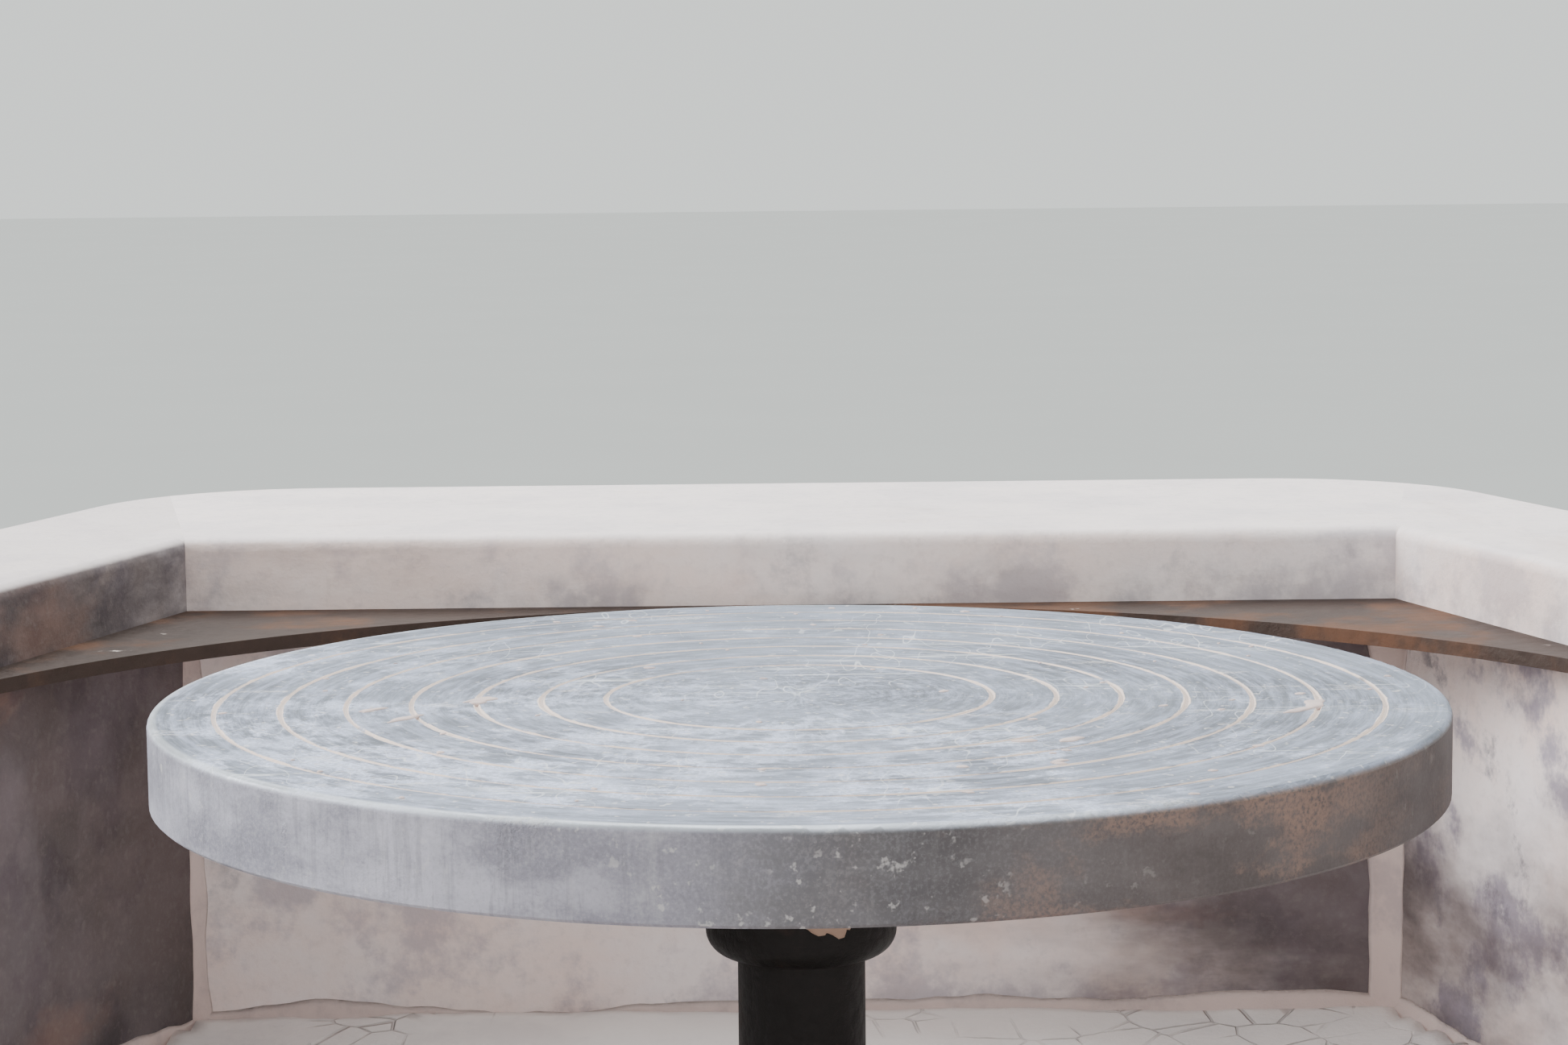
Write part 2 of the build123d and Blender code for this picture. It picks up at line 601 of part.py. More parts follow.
def rim_boards():
    """The back and side rim boards, cut from one rounded horseshoe along two mitres."""
    outer_side = TRAY_INNER + RIM_SIDE_WIDTH
    angle = math.radians(SIDE_ANGLE)
    front = corners(TRAY_INNER)[1].length * math.sin(2 * angle) + WALL_T
    normal = Vector(math.cos(angle), math.sin(angle))
    along = Vector(normal.Y, -normal.X)
    right = [normal * outer_side + along * front, normal * TRAY_INNER + along * front]
    left = [Vector(-p.X, p.Y) for p in reversed(right)]
    inner_right, inner_left = corners(TRAY_INNER)[-1], corners(TRAY_INNER)[0]
    points = [rim_corner(1), right[0], right[1], inner_right, inner_left, left[0], left[1], rim_corner(-1)]
    body = prism(points, (RIM_BOTTOM, RIM_TOP))
    upright = body.edges().filter_by(Axis.Z)
    back_corners = [e for e in upright if e.center().Y > TRAY_INNER + 1]
    body = fillet(back_corners, RIM_CORNER_R)
    ends = [e for e in body.edges().filter_by(Axis.Z) if (e.center() - right[0]).X > -1 and e.center().Y < 0]
    ends += [e for e in body.edges().filter_by(Axis.Z) if (e.center() - left[1]).X < 1 and e.center().Y < 0]
    body = fillet(ends, RIM_END_R)
    body = fillet(body.faces().sort_by(Axis.Z)[-1].edges(), RIM_ROUND)
    cuts = []
    for side, near in ((1, inner_right), (-1, inner_left)):
        beyond = rim_corner(side) - near
        cuts.append((near - beyond, near + beyond * 2))
    wedge = prism([cuts[0][0], cuts[0][1], cuts[1][1], cuts[1][0]], (RIM_BOTTOM - PAST, RIM_TOP + PAST))
    sides = (body - wedge).solids().sort_by(Axis.X)
    return {"back": body & wedge, "left": sides[0], "right": sides[-1]}


def rim_ledge():
    """A thin plate on the high walls that fills their corners, open in a circle."""
    outer = corners(WALL_OUTER)
    body = prism([outer[-1], outer[0], outer[1], outer[-2]], (WALL_TOP, RIM_BOTTOM))
    return body - rod(LEDGE_R, (WALL_TOP - PAST, RIM_BOTTOM + PAST))


def rim_brackets():
    """Timber knees between the walls' outer faces and the underside of the rim."""
    def knee(reach, offset):
        x = WALL_OUTER
        low = RIM_BOTTOM - BRACKET_H
        tip, heel = (x + reach, RIM_BOTTOM - BRACKET_TOE), (x + BRACKET_TOE, low)
        points = [(x, RIM_BOTTOM), (x + reach, RIM_BOTTOM), tip, heel, (x, low)]
        face = Plane.XZ * make_face(Polyline(*points, close=True))
        return Pos(0, offset + BRACKET_T / 2, 0) * extrude(face, BRACKET_T)

    back_reach = RIM_BACK_WIDTH - WALL_T - BACK_KNEE_SHORT
    side_reach = RIM_SIDE_WIDTH - WALL_T - SIDE_KNEE_SHORT
    back = [Rot(0, 0, 90) * knee(back_reach, x) for x in (-BRACKET_X, BRACKET_X)]
    sides = [Rot(0, 0, angle) * knee(side_reach, 0) for angle in (SIDE_ANGLE, 180 - SIDE_ANGLE)]
    return group([*back, *sides])


def front_capping():
    """Three strips along the tops of the low front walls."""
    found = []
    for side in ("front_left", "front", "front_right"):
        inner, outer = TRAY_INNER - CAPPING_INSIDE, WALL_OUTER + CAPPING_OUTSIDE
        strip = mitred(inner, outer, side, (FRONT_TOP, FRONT_TOP + CAPPING_T))
        long_edges = strip.faces().sort_by(Axis.Z)[-1].edges().sort_by(SortBy.LENGTH)[-2:]
        found.append(fillet(long_edges, RIM_ROUND))
    return group(found)


def tray_floor():
    body = prism(corners(WALL_OUTER), (TRAY_FLOOR_BOTTOM, TRAY_FLOOR_TOP))
    level = (TRAY_FLOOR_BOTTOM - PAST, TRAY_FLOOR_TOP + PAST)
    body -= rod(UPSTAND_R + HOLE_ROOM, level)
    return body - rod(DRAIN_R + DRAIN_WALL + HOLE_ROOM, level, DRAIN_X, DRAIN_Y)


def tray_corner_cleats():
    """Blocks glued behind the walls at each corner, as high as the lower of the two walls."""
    near, far = corners(WALL_OUTER), corners(WALL_OUTER + CLEAT_T)
    found = []
    for i, (side, _) in enumerate(SIDES):
        before, after = near[i - 1], near[(i + 1) % len(SIDES)]
        back = (before - near[i]).normalized() * CLEAT_LEG
        on = (after - near[i]).normalized() * CLEAT_LEG
        both_high = side in HIGH_SIDES and SIDES[(i + 1) % len(SIDES)][0] in HIGH_SIDES
        top = RIM_BOTTOM if both_high else FRONT_TOP
        points = [near[i], near[i] + back, far[i] + back, far[i], far[i] + on, near[i] + on]
        found.append(prism(points, (TRAY_FLOOR_BOTTOM, top)))
    return group(found)


def shaft_upstand():
    body = ring(UPSTAND_R, UPSTAND_R - UPSTAND_WALL, (TRAY_FLOOR_BOTTOM, UPSTAND_TOP))
    flange = (TRAY_FLOOR_TOP, TRAY_FLOOR_TOP + UPSTAND_FLANGE_T)
    return body + ring(UPSTAND_FLANGE_R, UPSTAND_R - 1, flange)


def drain_tube():
    low, lip_top = TRAY_FLOOR_BOTTOM - DRAIN_BELOW, TRAY_FLOOR_TOP + DRAIN_LIP_T
    body = rod(DRAIN_R + DRAIN_WALL, (low, TRAY_FLOOR_TOP), DRAIN_X, DRAIN_Y)
    body += rod(DRAIN_LIP_R, (TRAY_FLOOR_TOP, lip_top), DRAIN_X, DRAIN_Y)
    return body - rod(DRAIN_R, (low - PAST, lip_top + PAST), DRAIN_X, DRAIN_Y)


def drain_plug():
    top = TRAY_FLOOR_TOP + DRAIN_LIP_T + LIFT_GAP
    plug = Pos(DRAIN_X, DRAIN_Y, top - PLUG_DEPTH) * Cone(
        PLUG_TIP_R, DRAIN_R - LIFT_GAP, PLUG_DEPTH, align=(Align.CENTER, Align.CENTER, Align.MIN)
    )
    cap = rod(PLUG_CAP_R, (top, top + PLUG_CAP_H), DRAIN_X, DRAIN_Y)
    cap = fillet(cap.edges().group_by(Axis.Z)[-1], PLUG_CAP_ROUND)
    loop = Pos(DRAIN_X, DRAIN_Y, top + PLUG_LOOP_UP) * Rot(90, 0, 0) * Torus(PLUG_LOOP_R, PLUG_LOOP_WIRE)
    return plug + cap + loop


# ---- Timber frame -------------------------------------------------------------------------------
LEG_YS = (BACK_LEG_Y, MIDDLE_LEG_Y, SEAT_LEG_Y)
UPPER_BOLT_ZS = (UPPER_RAIL_Z + 26.0, UPPER_RAIL_Z + 69.0)
PAIR_OFFSET = 12.0          # bolts in a pair stand this far each side of a leg's middle
SEAT_PAIR_OFFSET = 14.0
CROSS_SCREW_UP = 22.0       # cross timbers' screws over their undersides
FOOT_SCREW_UP = 24.0
CROSS_SCREW_Y = 30.0
STRETCHER_BOLT_Z = STRETCHER_Z + STRETCHER_H / 2
BASE_BOLT_Z = BASE_RAIL_H / 2
SEAT_SUPPORT_Z = SEAT_BOTTOM - RAIL_T


def bolt_spots():
    """(y, z) of every coach bolt through one side of the frame."""
    spots = []
    for y in LEG_YS:
        spots += [(y - PAIR_OFFSET, UPPER_BOLT_ZS[0]), (y + PAIR_OFFSET, UPPER_BOLT_ZS[1])]
        spots += [(y, STRETCHER_BOLT_Z), (y, BASE_BOLT_Z)]
    return spots + [(SEAT_LEG_Y + s * SEAT_PAIR_OFFSET, SEAT_SUPPORT_Z + RAIL_T / 2) for s in (-1, 1)]


def cross_spots():
    """(y, z) of every coach screw into the end of a cross timber, on one side."""
    spots = []
    for s in (-1, 1):
        spots.append((s * CROSS_SCREW_Y, BEAM_BOTTOM + CROSS_SCREW_UP))
        spots.append((s * (JOIST_Y + JOIST_W / 2), BEAM_BOTTOM + CROSS_SCREW_UP))
        spots.append((s * CROSS_SCREW_Y, FOOT_SCREW_UP))
    return spots + [(y + RAIL_T / 2, BASE_BOLT_Z) for y in (BASE_CROSS_BACK_Y, BASE_CROSS_FRONT_Y)]


def bored(timber):
    """One side's timber with the holes that its bolts and screws pass through."""
    box = timber.bounding_box()
    for y, z in [*bolt_spots(), *cross_spots()]:
        if box.min.Y < y < box.max.Y and box.min.Z < z < box.max.Z:
            timber = timber - rod_x(HOLE_R, (RAIL_IN - PAST, POST_X + POST / 2 + PAST), y, z)
    return timber


def leg(y, top):
    return bored(block((POST_X - POST / 2, POST_X + POST / 2), (y - POST / 2, y + POST / 2), (0, top)))


def side_rail(y, z):
    return bored(block((RAIL_IN, RAIL_OUT), y, z))


def cross_timber(y, z, x=RAIL_IN):
    """A timber between the two side rails, drilled for the coach screws in its ends."""
    body = block((-x, x), y, z)
    for screw_y, screw_z in cross_spots():
        if y[0] < screw_y < y[1] and z[0] < screw_z < z[1]:
            for side in (-1, 1):
                ends = sorted((side * (x - SCREW_BITE - BORE_ROOM), side * (x + PAST)))
                body -= rod_x(BOLT_R, ends, screw_y, screw_z)
    return body


SCREW_BITE = 45.0           # how far a coach screw runs into a cross timber
BORE_ROOM = 0.5             # room past the tip of a screw


def bearing_beam():
    body = cross_timber((-BEAM_W / 2, BEAM_W / 2), (BEAM_BOTTOM, TRAY_FLOOR_BOTTOM))
    body -= rod(UPSTAND_R - UPSTAND_WALL, (BEAM_BOTTOM - PAST, TRAY_FLOOR_BOTTOM + PAST))
    depth = BEARING_SCREW_BITE - HOUSING_FLANGE_T + BORE_ROOM
    for hole in housing_spots(rod(BOLT_R, (BEAM_BOTTOM - PAST, BEAM_BOTTOM + depth))):
        body -= hole
    return body


def foot_beam():
    body = cross_timber((-BEAM_W / 2, BEAM_W / 2), (0, RAIL_T))
    low = RAIL_T + FOOT_PLATE_T - BEARING_SCREW_BITE - BORE_ROOM
    for hole in around(rod(BOLT_R, (low, RAIL_T + PAST), x=FOOT_SCREW_R), 4, 45):
        body -= hole
    return body


def coach_bolt(y, z):
    """A domed coach bolt along X through a leg and the rail on its inner face."""
    face = POST_X + POST / 2
    dome = rod_x(DOME_R, (face, face + DOME_H), y, z)
    dome = fillet(dome.edges().sort_by(Axis.X)[-1], DOME_ROUND)
    return dome + rod_x(BOLT_R, (RAIL_IN - BOLT_TAIL, face), y, z)


def bolt_nut(y, z):
    """A washer and a hexagon nut on a coach bolt's inner end."""
    nut = Pos(RAIL_IN - WASHER_T, y, z) * Rot(0, -90, 0) * hexagon(M10_ACROSS, (0, M10_NUT_H))
    both = nut + rod_x(NUT_WASHER_R, (RAIL_IN - WASHER_T, RAIL_IN), y, z)
    return both - rod_x(BOLT_R, (RAIL_IN - BOLT_TAIL, RAIL_IN + PAST), y, z)


def frame_bolts():
    return both_sides(group(coach_bolt(y, z) for y, z in bolt_spots()))


def frame_nuts():
    return both_sides(group(bolt_nut(y, z) for y, z in bolt_spots()))


def cross_screws():
    screw = Rot(0, 90, 0) * coach_screw(RAIL_T + SCREW_BITE)
    return both_sides(group(Pos(RAIL_OUT, y, z) * screw for y, z in cross_spots()))


# ---- Seat and footrests -------------------------------------------------------------------------
def seat_board():
    y = (SEAT_LEG_Y - SEAT_DEPTH / 2, SEAT_LEG_Y + SEAT_DEPTH / 2)
    board = block((-SEAT_HALF_WIDTH, SEAT_HALF_WIDTH), y, (SEAT_BOTTOM, SEAT_TOP), ease=0)
    board = fillet(board.edges().filter_by(Axis.Z), SEAT_CORNER_R)
    board = fillet(board.edges().group_by(Axis.Z)[-1], SEAT_TOP_ROUND)
    board = fillet(board.edges().group_by(Axis.Z)[0], TIMBER_ROUND)
    ball_r = (SEAT_DISH_R**2 + SEAT_DISH**2) / (2 * SEAT_DISH)
    middle = SEAT_LEG_Y + SEAT_DISH_FORWARD
    dish = Pos(0, middle, SEAT_TOP + ball_r - SEAT_DISH) * Sphere(ball_r)
    window = Pos(0, middle, SEAT_TOP) * Cylinder(SEAT_DISH_R - 5, 2 * SEAT_T)
    return board - (dish & window)


def seat_supports():
    reach = SEAT_DEPTH / 2 - SEAT_CLEAT_INSET
    y = (SEAT_LEG_Y - reach, SEAT_LEG_Y + reach)
    cleats = both_sides(side_rail(y, (SEAT_SUPPORT_Z, SEAT_BOTTOM)))
    battens = []
    for near in BATTEN_YS:
        batten_y = (near, near + RAIL_T)
        battens.append(block((-RAIL_IN, RAIL_IN), batten_y, (SEAT_BOTTOM - BATTEN_T, SEAT_BOTTOM)))
    return group([*cleats.solids(), *battens])


def footrest_frame(shape):
    """Places a piece made flat at the origin on the footrest's slope, on the right side."""
    at = Pos(RAIL_OUT - FOOTREST_W / 2, FOOTREST_Y, STRETCHER_Z + STRETCHER_H + REST_GAP)
    return at * Rot(FOOTREST_TILT, 0, 0) * shape


def footrests():
    board = Box(FOOTREST_W, FOOTREST_LENGTH, FOOTREST_T, align=(Align.CENTER, Align.MIN, Align.MIN))
    board = footrest_frame(fillet(board.edges(), 2.0))
    rise = math.tan(math.radians(FOOTREST_TILT))
    tops = [(y, y * rise - WEDGE_GAP) for y in (WEDGE_TO, WEDGE_FROM)]
    profile = Polyline((WEDGE_FROM, 0), (WEDGE_TO, 0), *tops, close=True)
    face = Plane.YZ * make_face(profile)
    wedge = Pos(RAIL_IN, FOOTREST_Y, STRETCHER_Z + STRETCHER_H + REST_GAP) * extrude(face, RAIL_T)
    return both_sides(board), both_sides(wedge)


# ---- The assembly -------------------------------------------------------------------------------
parts["wheel_head"] = wheel_head()
parts["head_hub"] = head_hub()
parts["hub_screws"] = hub_screws()
parts["set_screws"] = set_screws()
parts["wheel_shaft"] = wheel_shaft()
parts["water_slinger"] = water_slinger()
parts["thrust_ball"] = Pos(0, 0, BALL_Z) * Sphere(BALL_R)

parts["flywheel_disc"] = flywheel_disc()
parts["flywheel_band"] = flywheel_band()
parts["flywheel_tread"] = flywheel_tread()
parts["flywheel_hub"] = flywheel_hub()
parts["flywheel_clamp_plate"] = flywheel_clamp_plate()
parts["flywheel_bolts"] = flywheel_bolts()
parts["flywheel_nuts"] = flywheel_nuts()
parts["flywheel_key"] = flywheel_key()

parts["bearing_housing"] = bearing_housing()
parts["bearing_outer_ring"] = bearing_outer_ring()
parts["bearing_inner_ring"] = bearing_inner_ring()
parts["bearing_balls"] = group(ball_spots(BEARING_BALL_R))
parts["bearing_cage"] = bearing_cage()
parts["bearing_seals"] = bearing_seals()
parts["bearing_screws"] = bearing_screws()
parts["grease_nipple"] = grease_nipple()
parts["foot_bearing_housing"] = foot_bearing_housing()
parts["foot_bearing_bush"] = ring(
    FOOT_BUSH_R - SLIP_FIT, SHAFT_R + RUN_FIT, (RAIL_T + FOOT_BUSH_UP, FOOT_TOP)
)

for side, board in rim_boards().items():
    parts[f"rim_board_{side}"] = board
parts["rim_ledge"] = rim_ledge()
parts["rim_brackets"] = rim_brackets()
for side, _ in SIDES:
    top = WALL_TOP if side in HIGH_SIDES else FRONT_TOP
    parts[f"tray_wall_{side}"] = mitred(TRAY_INNER, WALL_OUTER, side, (TRAY_FLOOR_TOP, top))
parts["front_capping"] = front_capping()
parts["tray_floor"] = tray_floor()
parts["tray_corner_cleats"] = tray_corner_cleats()
parts["shaft_upstand"] = shaft_upstand()
parts["drain_tube"] = drain_tube()
parts["drain_plug"] = drain_plug()

parts["back_legs"] = both_sides(leg(BACK_LEG_Y, TRAY_FLOOR_BOTTOM))
parts["middle_legs"] = both_sides(leg(MIDDLE_LEG_Y, TRAY_FLOOR_BOTTOM))
parts["seat_legs"] = both_sides(leg(SEAT_LEG_Y, SEAT_BOTTOM))
parts["upper_side_rails"] = both_sides(
    side_rail((RAIL_FRONT_Y, UPPER_RAIL_BACK_Y), (UPPER_RAIL_Z, TRAY_FLOOR_BOTTOM))
)
parts["side_stretchers"] = both_sides(
    side_rail((RAIL_FRONT_Y, BACK_LEG_Y + POST / 2), (STRETCHER_Z, STRETCHER_Z + STRETCHER_H))
)
parts["base_side_rails"] = both_sides(side_rail((RAIL_FRONT_Y, BASE_RAIL_BACK_Y), (0, BASE_RAIL_H)))
parts["foot_beam"] = foot_beam()
parts["bearing_beam"] = bearing_beam()
joist = cross_timber((JOIST_Y, JOIST_Y + JOIST_W), (BEAM_BOTTOM, TRAY_FLOOR_BOTTOM))
parts["tray_joists"] = group([*joist.solids(), *mirror(joist, about=Plane.XZ).solids()])
parts["base_cross_rails"] = group(
    cross_timber((y, y + RAIL_T), (0, BASE_RAIL_H)) for y in (BASE_CROSS_BACK_Y, BASE_CROSS_FRONT_Y)
)
parts["frame_bolts"] = frame_bolts()
parts["frame_nuts"] = frame_nuts()
parts["cross_screws"] = cross_screws()

parts["seat_board"] = seat_board()
parts["seat_supports"] = seat_supports()
parts["footrests"], parts["footrest_wedges"] = footrests()

os.makedirs("parts", exist_ok=True)
for old in os.listdir("parts"):
    if old.endswith(".step") and old[:-5] not in parts:
        os.remove(os.path.join("parts", old))
for name, shape in parts.items():
    export_step(shape, f"parts/{name}.step")
print(len(parts), "nodes")
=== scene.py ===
import math
import random

import bmesh
import bpy
from mathutils import Matrix, Vector, noise


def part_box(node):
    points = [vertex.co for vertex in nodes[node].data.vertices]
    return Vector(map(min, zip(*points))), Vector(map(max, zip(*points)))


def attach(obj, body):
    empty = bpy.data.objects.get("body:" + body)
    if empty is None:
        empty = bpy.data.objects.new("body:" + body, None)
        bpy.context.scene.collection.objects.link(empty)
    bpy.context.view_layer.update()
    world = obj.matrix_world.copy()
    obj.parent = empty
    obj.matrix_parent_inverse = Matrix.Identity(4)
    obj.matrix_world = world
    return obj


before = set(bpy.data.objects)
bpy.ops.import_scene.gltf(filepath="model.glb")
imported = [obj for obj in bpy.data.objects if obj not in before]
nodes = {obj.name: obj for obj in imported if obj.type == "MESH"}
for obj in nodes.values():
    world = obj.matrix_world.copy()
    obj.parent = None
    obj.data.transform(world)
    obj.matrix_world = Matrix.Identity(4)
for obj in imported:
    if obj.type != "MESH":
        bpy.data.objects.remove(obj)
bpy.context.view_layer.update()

# Metres, in the CAD model's frame: +Z up, +Y away from the potter, the shaft's axis at x = y = 0.

# ---- Places read from the CAD model -----------------------------------------------------------
head_low, head_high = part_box("wheel_head")
HEAD_TOP = head_high.z
HEAD_BOTTOM = head_low.z
HEAD_R = head_high.x
GROOVE_PITCH = HEAD_R / 10
FIRST_GROOVE_R = GROOVE_PITCH * 3
HUB_FLANGE_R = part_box("head_hub")[1].x
WALL_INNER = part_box("tray_wall_back")[0].y
FLOOR_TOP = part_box("tray_floor")[1].z
LEDGE_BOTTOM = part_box("rim_ledge")[0].z
FRONT_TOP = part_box("tray_wall_front")[1].z
UPSTAND_FLANGE_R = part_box("shaft_upstand")[1].x
DRAIN_LOW, DRAIN_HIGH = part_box("drain_tube")
TREAD_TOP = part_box("flywheel_tread")[1].z
TREAD_OUT_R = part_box("flywheel_tread")[1].x
# Which way each side of the tray faces outward, in degrees from +X, going round from the back.
SIDE_ANGLES = {"back": 90, "left": 162, "front_left": 234, "front": 270, "front_right": 306, "right": 18}


# ---- Node helpers -----------------------------------------------------------------------------
class Graph:
    """A material's node tree, with one short call for each node that the materials use."""

    def __init__(self, name):
        self.material = bpy.data.materials.new(name)
        self.material.use_nodes = True
        self.tree = self.material.node_tree
        self.shader = self.tree.nodes["Principled BSDF"]
        self.position = self.add("ShaderNodeTexCoord").outputs["Object"]

    def add(self, kind, **settings):
        node = self.tree.nodes.new(kind)
        for key, value in settings.items():
            setattr(node, key, value)
        return node

    def feed(self, socket, value):
        if isinstance(value, bpy.types.NodeSocket):
            self.tree.links.new(value, socket)
        elif isinstance(value, (tuple, list)) and len(value) == 3 and socket.type == "RGBA":
            socket.default_value = (*value, 1.0)
        else:
            socket.default_value = value

    def math(self, operation, a, b=0.0, clamp=False):
        node = self.add("ShaderNodeMath", operation=operation, use_clamp=clamp)
        self.feed(node.inputs[0], a)
        self.feed(node.inputs[1], b)
        return node.outputs[0]

    def times(self, a, b):
        return self.math("MULTIPLY", a, b)

    def plus(self, a, b):
        return self.math("ADD", a, b)

    def minus(self, a, b):
        return self.math("SUBTRACT", a, b)

    def over(self, a, b):
        return self.math("DIVIDE", a, b)

    def split(self, vector):
        node = self.add("ShaderNodeSeparateXYZ")
        self.feed(node.inputs[0], vector)
        return node.outputs

    def join(self, x, y, z):
        node = self.add("ShaderNodeCombineXYZ")
        for socket, value in zip(node.inputs, (x, y, z)):
            self.feed(socket, value)
        return node.outputs[0]

    def scaled(self, vector, factors, offset=(0, 0, 0)):
        node = self.add("ShaderNodeMapping")
        self.feed(node.inputs["Vector"], vector)
        node.inputs["Scale"].default_value = factors
        node.inputs["Location"].default_value = offset
        return node.outputs[0]

    def noise(self, vector, scale, detail=4.0, rough=0.55, distortion=0.0):
        """Noise of scale lumps per metre, around 0.5."""
        node = self.add("ShaderNodeTexNoise")
        self.feed(node.inputs["Vector"], vector)
        node.inputs["Scale"].default_value = scale
        node.inputs["Detail"].default_value = detail
        node.inputs["Roughness"].default_value = rough
        node.inputs["Distortion"].default_value = distortion
        return node.outputs["Fac"]

    def cells(self, vector, scale, feature="F1", output="Distance"):
        node = self.add("ShaderNodeTexVoronoi", feature=feature)
        self.feed(node.inputs["Vector"], vector)
        node.inputs["Scale"].default_value = scale
        return node.outputs[output]

    def step(self, value, low, high):
        """0 below low, 1 above high, smooth between; low above high turns it round."""
        node = self.add("ShaderNodeMapRange", interpolation_type="SMOOTHSTEP")
        flip = low > high
        self.feed(node.inputs["Value"], value)
        node.inputs["From Min"].default_value = high if flip else low
        node.inputs["From Max"].default_value = low if flip else high
        node.inputs["To Min"].default_value = 1.0 if flip else 0.0
        node.inputs["To Max"].default_value = 0.0 if flip else 1.0
        return node.outputs["Result"]

    def mix(self, factor, a, b):
        node = self.add("ShaderNodeMix", data_type="RGBA")
        self.feed(node.inputs["Factor"], factor)
        self.feed(node.inputs[6], a)
        self.feed(node.inputs[7], b)
        return node.outputs[2]

    def layer(self, under, over, mask, strength):
        """One colour laid over another where mask is high."""
        return self.mix(self.times(mask, strength), under, over)

    def blend(self, factor, a, b):
        node = self.add("ShaderNodeMix", data_type="FLOAT")
        self.feed(node.inputs["Factor"], factor)
        self.feed(node.inputs[2], a)
        self.feed(node.inputs[3], b)
        return node.outputs[0]

    def finish(self, colour, rough, height=None, depth=0.001, metal=0.0):
        """Feeds the shader; height is the bump, and depth its size in metres."""
        self.feed(self.shader.inputs["Base Color"], colour)
        self.feed(self.shader.inputs["Roughness"], rough)
        self.feed(self.shader.inputs["Metallic"], metal)
        if height is not None:
            bump = self.add("ShaderNodeBump")
            bump.inputs["Strength"].default_value = 1.0
            bump.inputs["Distance"].default_value = depth
            self.feed(bump.inputs["Height"], height)
            self.feed(self.shader.inputs["Normal"], bump.outputs[0])
        return self.material

    def facing_up(self):
        """1 on upward faces, 0 on upright ones."""
        normal = self.split(self.add("ShaderNodeNewGeometry").outputs["Normal"])
        return self.step(normal[2], 0.5, 0.9)


AXIS_GUARD = 0.0005         # keeps the division off the shaft's axis


def polar(g):
    """(radius, unit x, unit y, z) of a point about the shaft's axis, with no seam."""
    x, y, z = g.split(g.position)
    radius = g.math("SQRT", g.plus(g.times(x, x), g.times(y, y)))
    safe = g.math("MAXIMUM", radius, AXIS_GUARD)
    return radius, g.over(x, safe), g.over(y, safe), z


# ---- Materials --------------------------------------------------------------------------------
# Colours are linear. Where a name holds two, a noise mixes between them.
CLAY = (0.70, 0.60, 0.54)
CLAY_PALE = (0.80, 0.75, 0.72)
CLAY_CRACK = (0.30, 0.245, 0.225)

HEAD_METAL = (0.085, 0.098, 0.128), (0.180, 0.205, 0.258)
HEAD_STREAK = (0.335, 0.372, 0.490)
HEAD_RING = (0.46, 0.49, 0.54)
HEAD_GRAIN = (0.12, 0.125, 0.14)
# Blue-white: partly the dried film's colour, partly a painted reflection of the sky.
HEAD_FILM_AND_REFLECTION = (0.70, 0.755, 0.950)
HEAD_PATCH = (0.72, 0.69, 0.69)
HEAD_HAIRLINE = (0.80, 0.81, 0.83)
# Painted highlight on the head's top edge.
HEAD_ARRIS_HIGHLIGHT = (0.74, 0.77, 0.80)
GROOVE_CLAY = (0.78, 0.61, 0.52), (0.93, 0.82, 0.74)

EDGE_METAL = (0.085, 0.084, 0.091), (0.150, 0.149, 0.160)
EDGE_FILM_LIT = (0.26, 0.258, 0.310), (0.50, 0.497, 0.575)
EDGE_SALT = (0.50, 0.50, 0.55)
EDGE_PEPPER = (0.09, 0.09, 0.10)
EDGE_WIPE = (0.60, 0.60, 0.62)
EDGE_SCRATCH = (0.15, 0.15, 0.175)
EDGE_FLECK = (0.62, 0.61, 0.60)
EDGE_BROWN_SHADE = (0.060, 0.045, 0.042), (0.102, 0.082, 0.078)
EDGE_BROWN_SHADE_GRAIN = (0.165, 0.140, 0.135)
EDGE_TAN = (0.262, 0.166, 0.128)

SLIP = (0.92, 0.745, 0.685), (0.93, 0.845, 0.840)
SLIP_STROKE = (0.92, 0.835, 0.81)
SLIP_BLOOM = (0.345, 0.305, 0.375)
SLIP_STAIN_AND_SHADE = (0.125, 0.118, 0.155)
SLIP_ON_TOP = (0.97, 0.865, 0.840), (0.84, 0.755, 0.755)
SLIP_ON_TOP_STROKE = (0.74, 0.600, 0.550)
SLIP_GRIT = (0.42, 0.36, 0.345)
WET_TIMBER = (0.030, 0.020, 0.021), (0.100, 0.070, 0.073)
WET_TIMBER_BLOOM = (0.175, 0.135, 0.150)
WET_TIMBER_WARM = (0.330, 0.165, 0.115)
WET_TIMBER_FOOT_SHADE = (0.022, 0.016, 0.017)

FRAME_TIMBER = (0.270, 0.150, 0.075), (0.165, 0.082, 0.038)
FRAME_FIBRE = (0.36, 0.225, 0.125)
FRAME_KNOT = (0.10, 0.05, 0.028)
FRAME_WORN = (0.185, 0.140, 0.108)
FRAME_GRIME = (0.070, 0.048, 0.036)
FRAME_SLIP = (0.62, 0.515, 0.455)

CONCRETE = (0.235, 0.225, 0.205), (0.40, 0.385, 0.355)
CONCRETE_STONE = (0.30, 0.265, 0.225)
CONCRETE_SAND = (0.50, 0.48, 0.45)
CONCRETE_PIT = (0.11, 0.10, 0.095)
RUBBER_DUST = (0.42, 0.38, 0.35)
PAINT = (0.035, 0.062, 0.060), (0.070, 0.105, 0.100)
BARE_IRON = (0.065, 0.045, 0.036), (0.17, 0.085, 0.045)
RUST_SPOT = (0.20, 0.095, 0.045)

